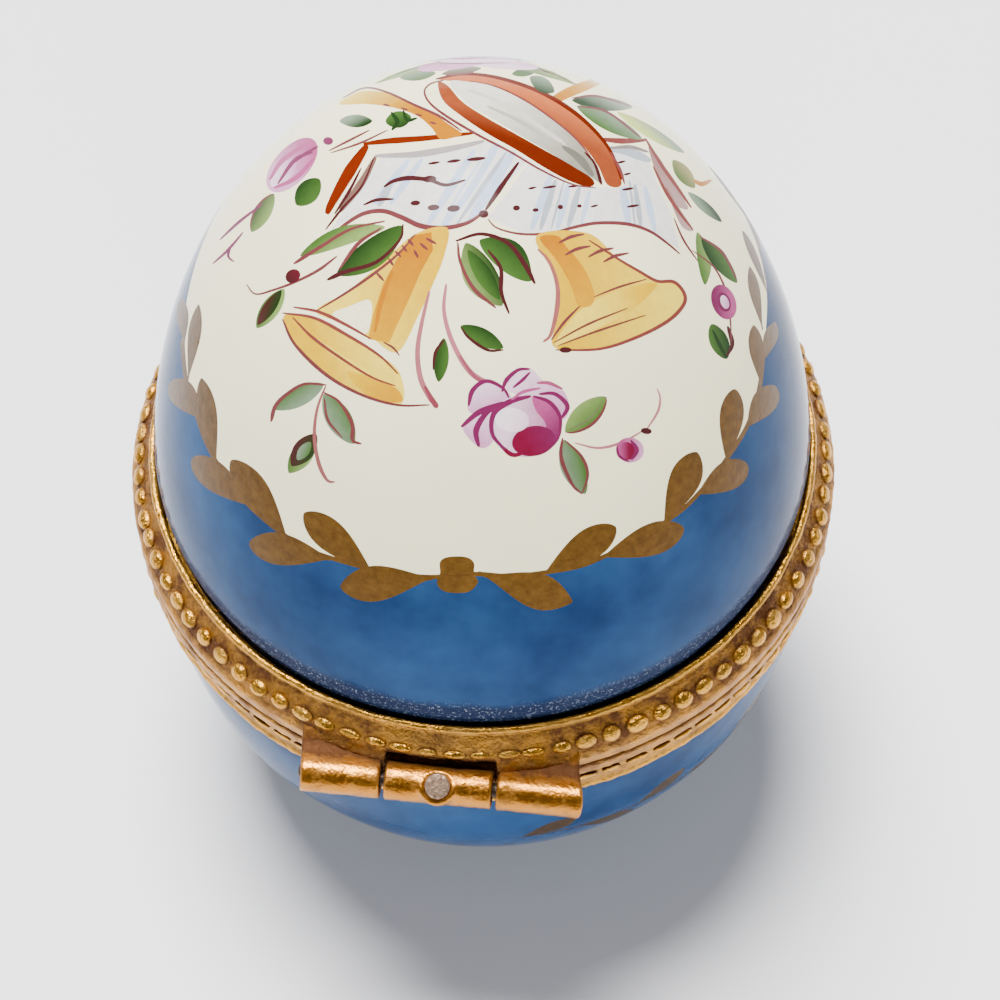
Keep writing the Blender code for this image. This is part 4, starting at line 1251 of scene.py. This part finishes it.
def worn_steel(name, first, second):
    made, shader, place = finish(name)
    spots = noise(place, 2600.0, 3.0, 0.6).band(0.35, 0.65)
    feed(shader, "Base Color", spots.blend(first, second))
    feed(shader, "Metallic", 0.9 - spots * 0.4)
    feed(shader, "Roughness", 0.36 + spots * 0.25)
    feed(shader, "Normal", place.node("ShaderNodeBump", {}, {"Strength": 0.9, "Distance": 0.00012,
                                                           "Height": noise(place, 3000.0)}))
    return made


pin.data.materials.append(worn_steel("darkened_steel", (*linear(110, 96, 80), 1.0), (*linear(60, 48, 38), 1.0)))
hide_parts("hinge_pin")
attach(pin, "base")

# The rivet: a small flat disc of steel set into the middle knuckle's top, which keeps the pin
# from sliding out. Its face is pitted and dull against the gilding.
rivet_shape = bmesh.new()
rivet_rings = []
for level, share in ((0.0008, 1.0), (0.00118, 1.0), (0.00131, 0.97), (0.00137, 0.86), (0.00139, 0.6), (0.0014, 0.3)):
    rivet_ring = []
    for angle in np.linspace(0, 2 * math.pi, 49)[:-1]:
        across = share * RIVET_RADIUS * math.cos(angle)
        down = share * RIVET_RADIUS * math.sin(angle)
        lift = level + rough((across, down, level), 21, 0.0005, 0.00003) * (share < 0.98)
        rivet_ring.append(rivet_shape.verts.new((
            across, HINGE_Y - lift * math.sin(RIVET_TURN) - down * math.cos(RIVET_TURN),
            MEETING_Z + lift * math.cos(RIVET_TURN) - down * math.sin(RIVET_TURN))))
    rivet_rings.append(rivet_ring)
for here, there in zip(rivet_rings, rivet_rings[1:]):
    for step in range(48):
        rivet_shape.faces.new((here[step], there[step], there[(step + 1) % 48], here[(step + 1) % 48]))
rivet_shape.faces.new(rivet_rings[0])
rivet_shape.faces.new(rivet_rings[-1][::-1])
rivet = gathered("hinge_rivet_disc", rivet_shape)
rivet.data.materials.append(worn_steel("dull_rivet", (*linear(200, 172, 146), 1.0), (*linear(122, 98, 82), 1.0)))
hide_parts("hinge_rivet")
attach(rivet, "base")

# The setting: a plain pale floor and soft light, none of which is part of the object.
floor_mesh = bpy.data.meshes.new("floor")
FLOOR_REACH = 12.0
floor_mesh.from_pydata([(x * FLOOR_REACH, y * FLOOR_REACH, 0) for x, y in ((-1, -1), (1, -1), (1, 1), (-1, 1))],
                       [], [(0, 1, 2, 3)])
floor = bpy.data.objects.new("floor", floor_mesh)
bpy.context.scene.collection.objects.link(floor)
floor_look, floor_shader, _ = finish("pale_floor")
floor_shader.inputs["Base Color"].default_value = (*linear(238, 238, 240), 1.0)
floor_shader.inputs["Roughness"].default_value = 0.7
floor_mesh.materials.append(floor_look)

world = bpy.data.worlds.new("studio")
world.use_nodes = True
world_tree = world.node_tree
direction = Shade(world_tree, world_tree.nodes.new("ShaderNodeTexCoord").outputs["Generated"])
facing = direction.node("ShaderNodeVectorMath", {"operation": "DOT_PRODUCT"}, {0: direction, 1: away}, "Value")
bright = direction.node("ShaderNodeBackground", {}, {"Color": (0.94, 0.96, 1.0, 1.0), "Strength": 0.28})
dim = direction.node("ShaderNodeBackground", {}, {"Color": (0.9, 0.94, 1.0, 1.0), "Strength": 0.13})
studio = direction.node("ShaderNodeMixShader", {}, {0: facing.band(0.45, 0.95), 1: bright, 2: dim})
behind = direction.node("ShaderNodeBackground", {}, {"Color": (0.97, 0.98, 1.0, 1.0), "Strength": 2.0})
to_camera = direction.node("ShaderNodeLightPath")
studio = direction.node("ShaderNodeMixShader", {}, {0: to_camera, 1: studio, 2: behind})
world_tree.links.new(studio.socket, world_tree.nodes["World Output"].inputs[0])
bpy.context.scene.world = world


def soft_light(name, place, target, size, power):
    data = bpy.data.lights.new(name, "AREA")
    data.size = size
    data.energy = power
    light = bpy.data.objects.new(name, data)
    bpy.context.scene.collection.objects.link(light)
    light.location = place
    light.rotation_euler = (Vector(target) - Vector(place)).to_track_quat("-Z", "Y").to_euler()
    return light


window_data = bpy.data.lights.new("window_behind", "SUN")
window_data.angle = math.radians(30)
window_data.energy = 12.4
window = bpy.data.objects.new("window_behind", window_data)
bpy.context.scene.collection.objects.link(window)
window.rotation_euler = Vector((0.10, -0.20, -0.60)).to_track_quat("-Z", "Y").to_euler()
by_camera = soft_light("by_the_camera", (0.08, -0.38, 0.11), (0, 0, 0.03), 0.14, 1.5)
by_camera.visible_glossy = False
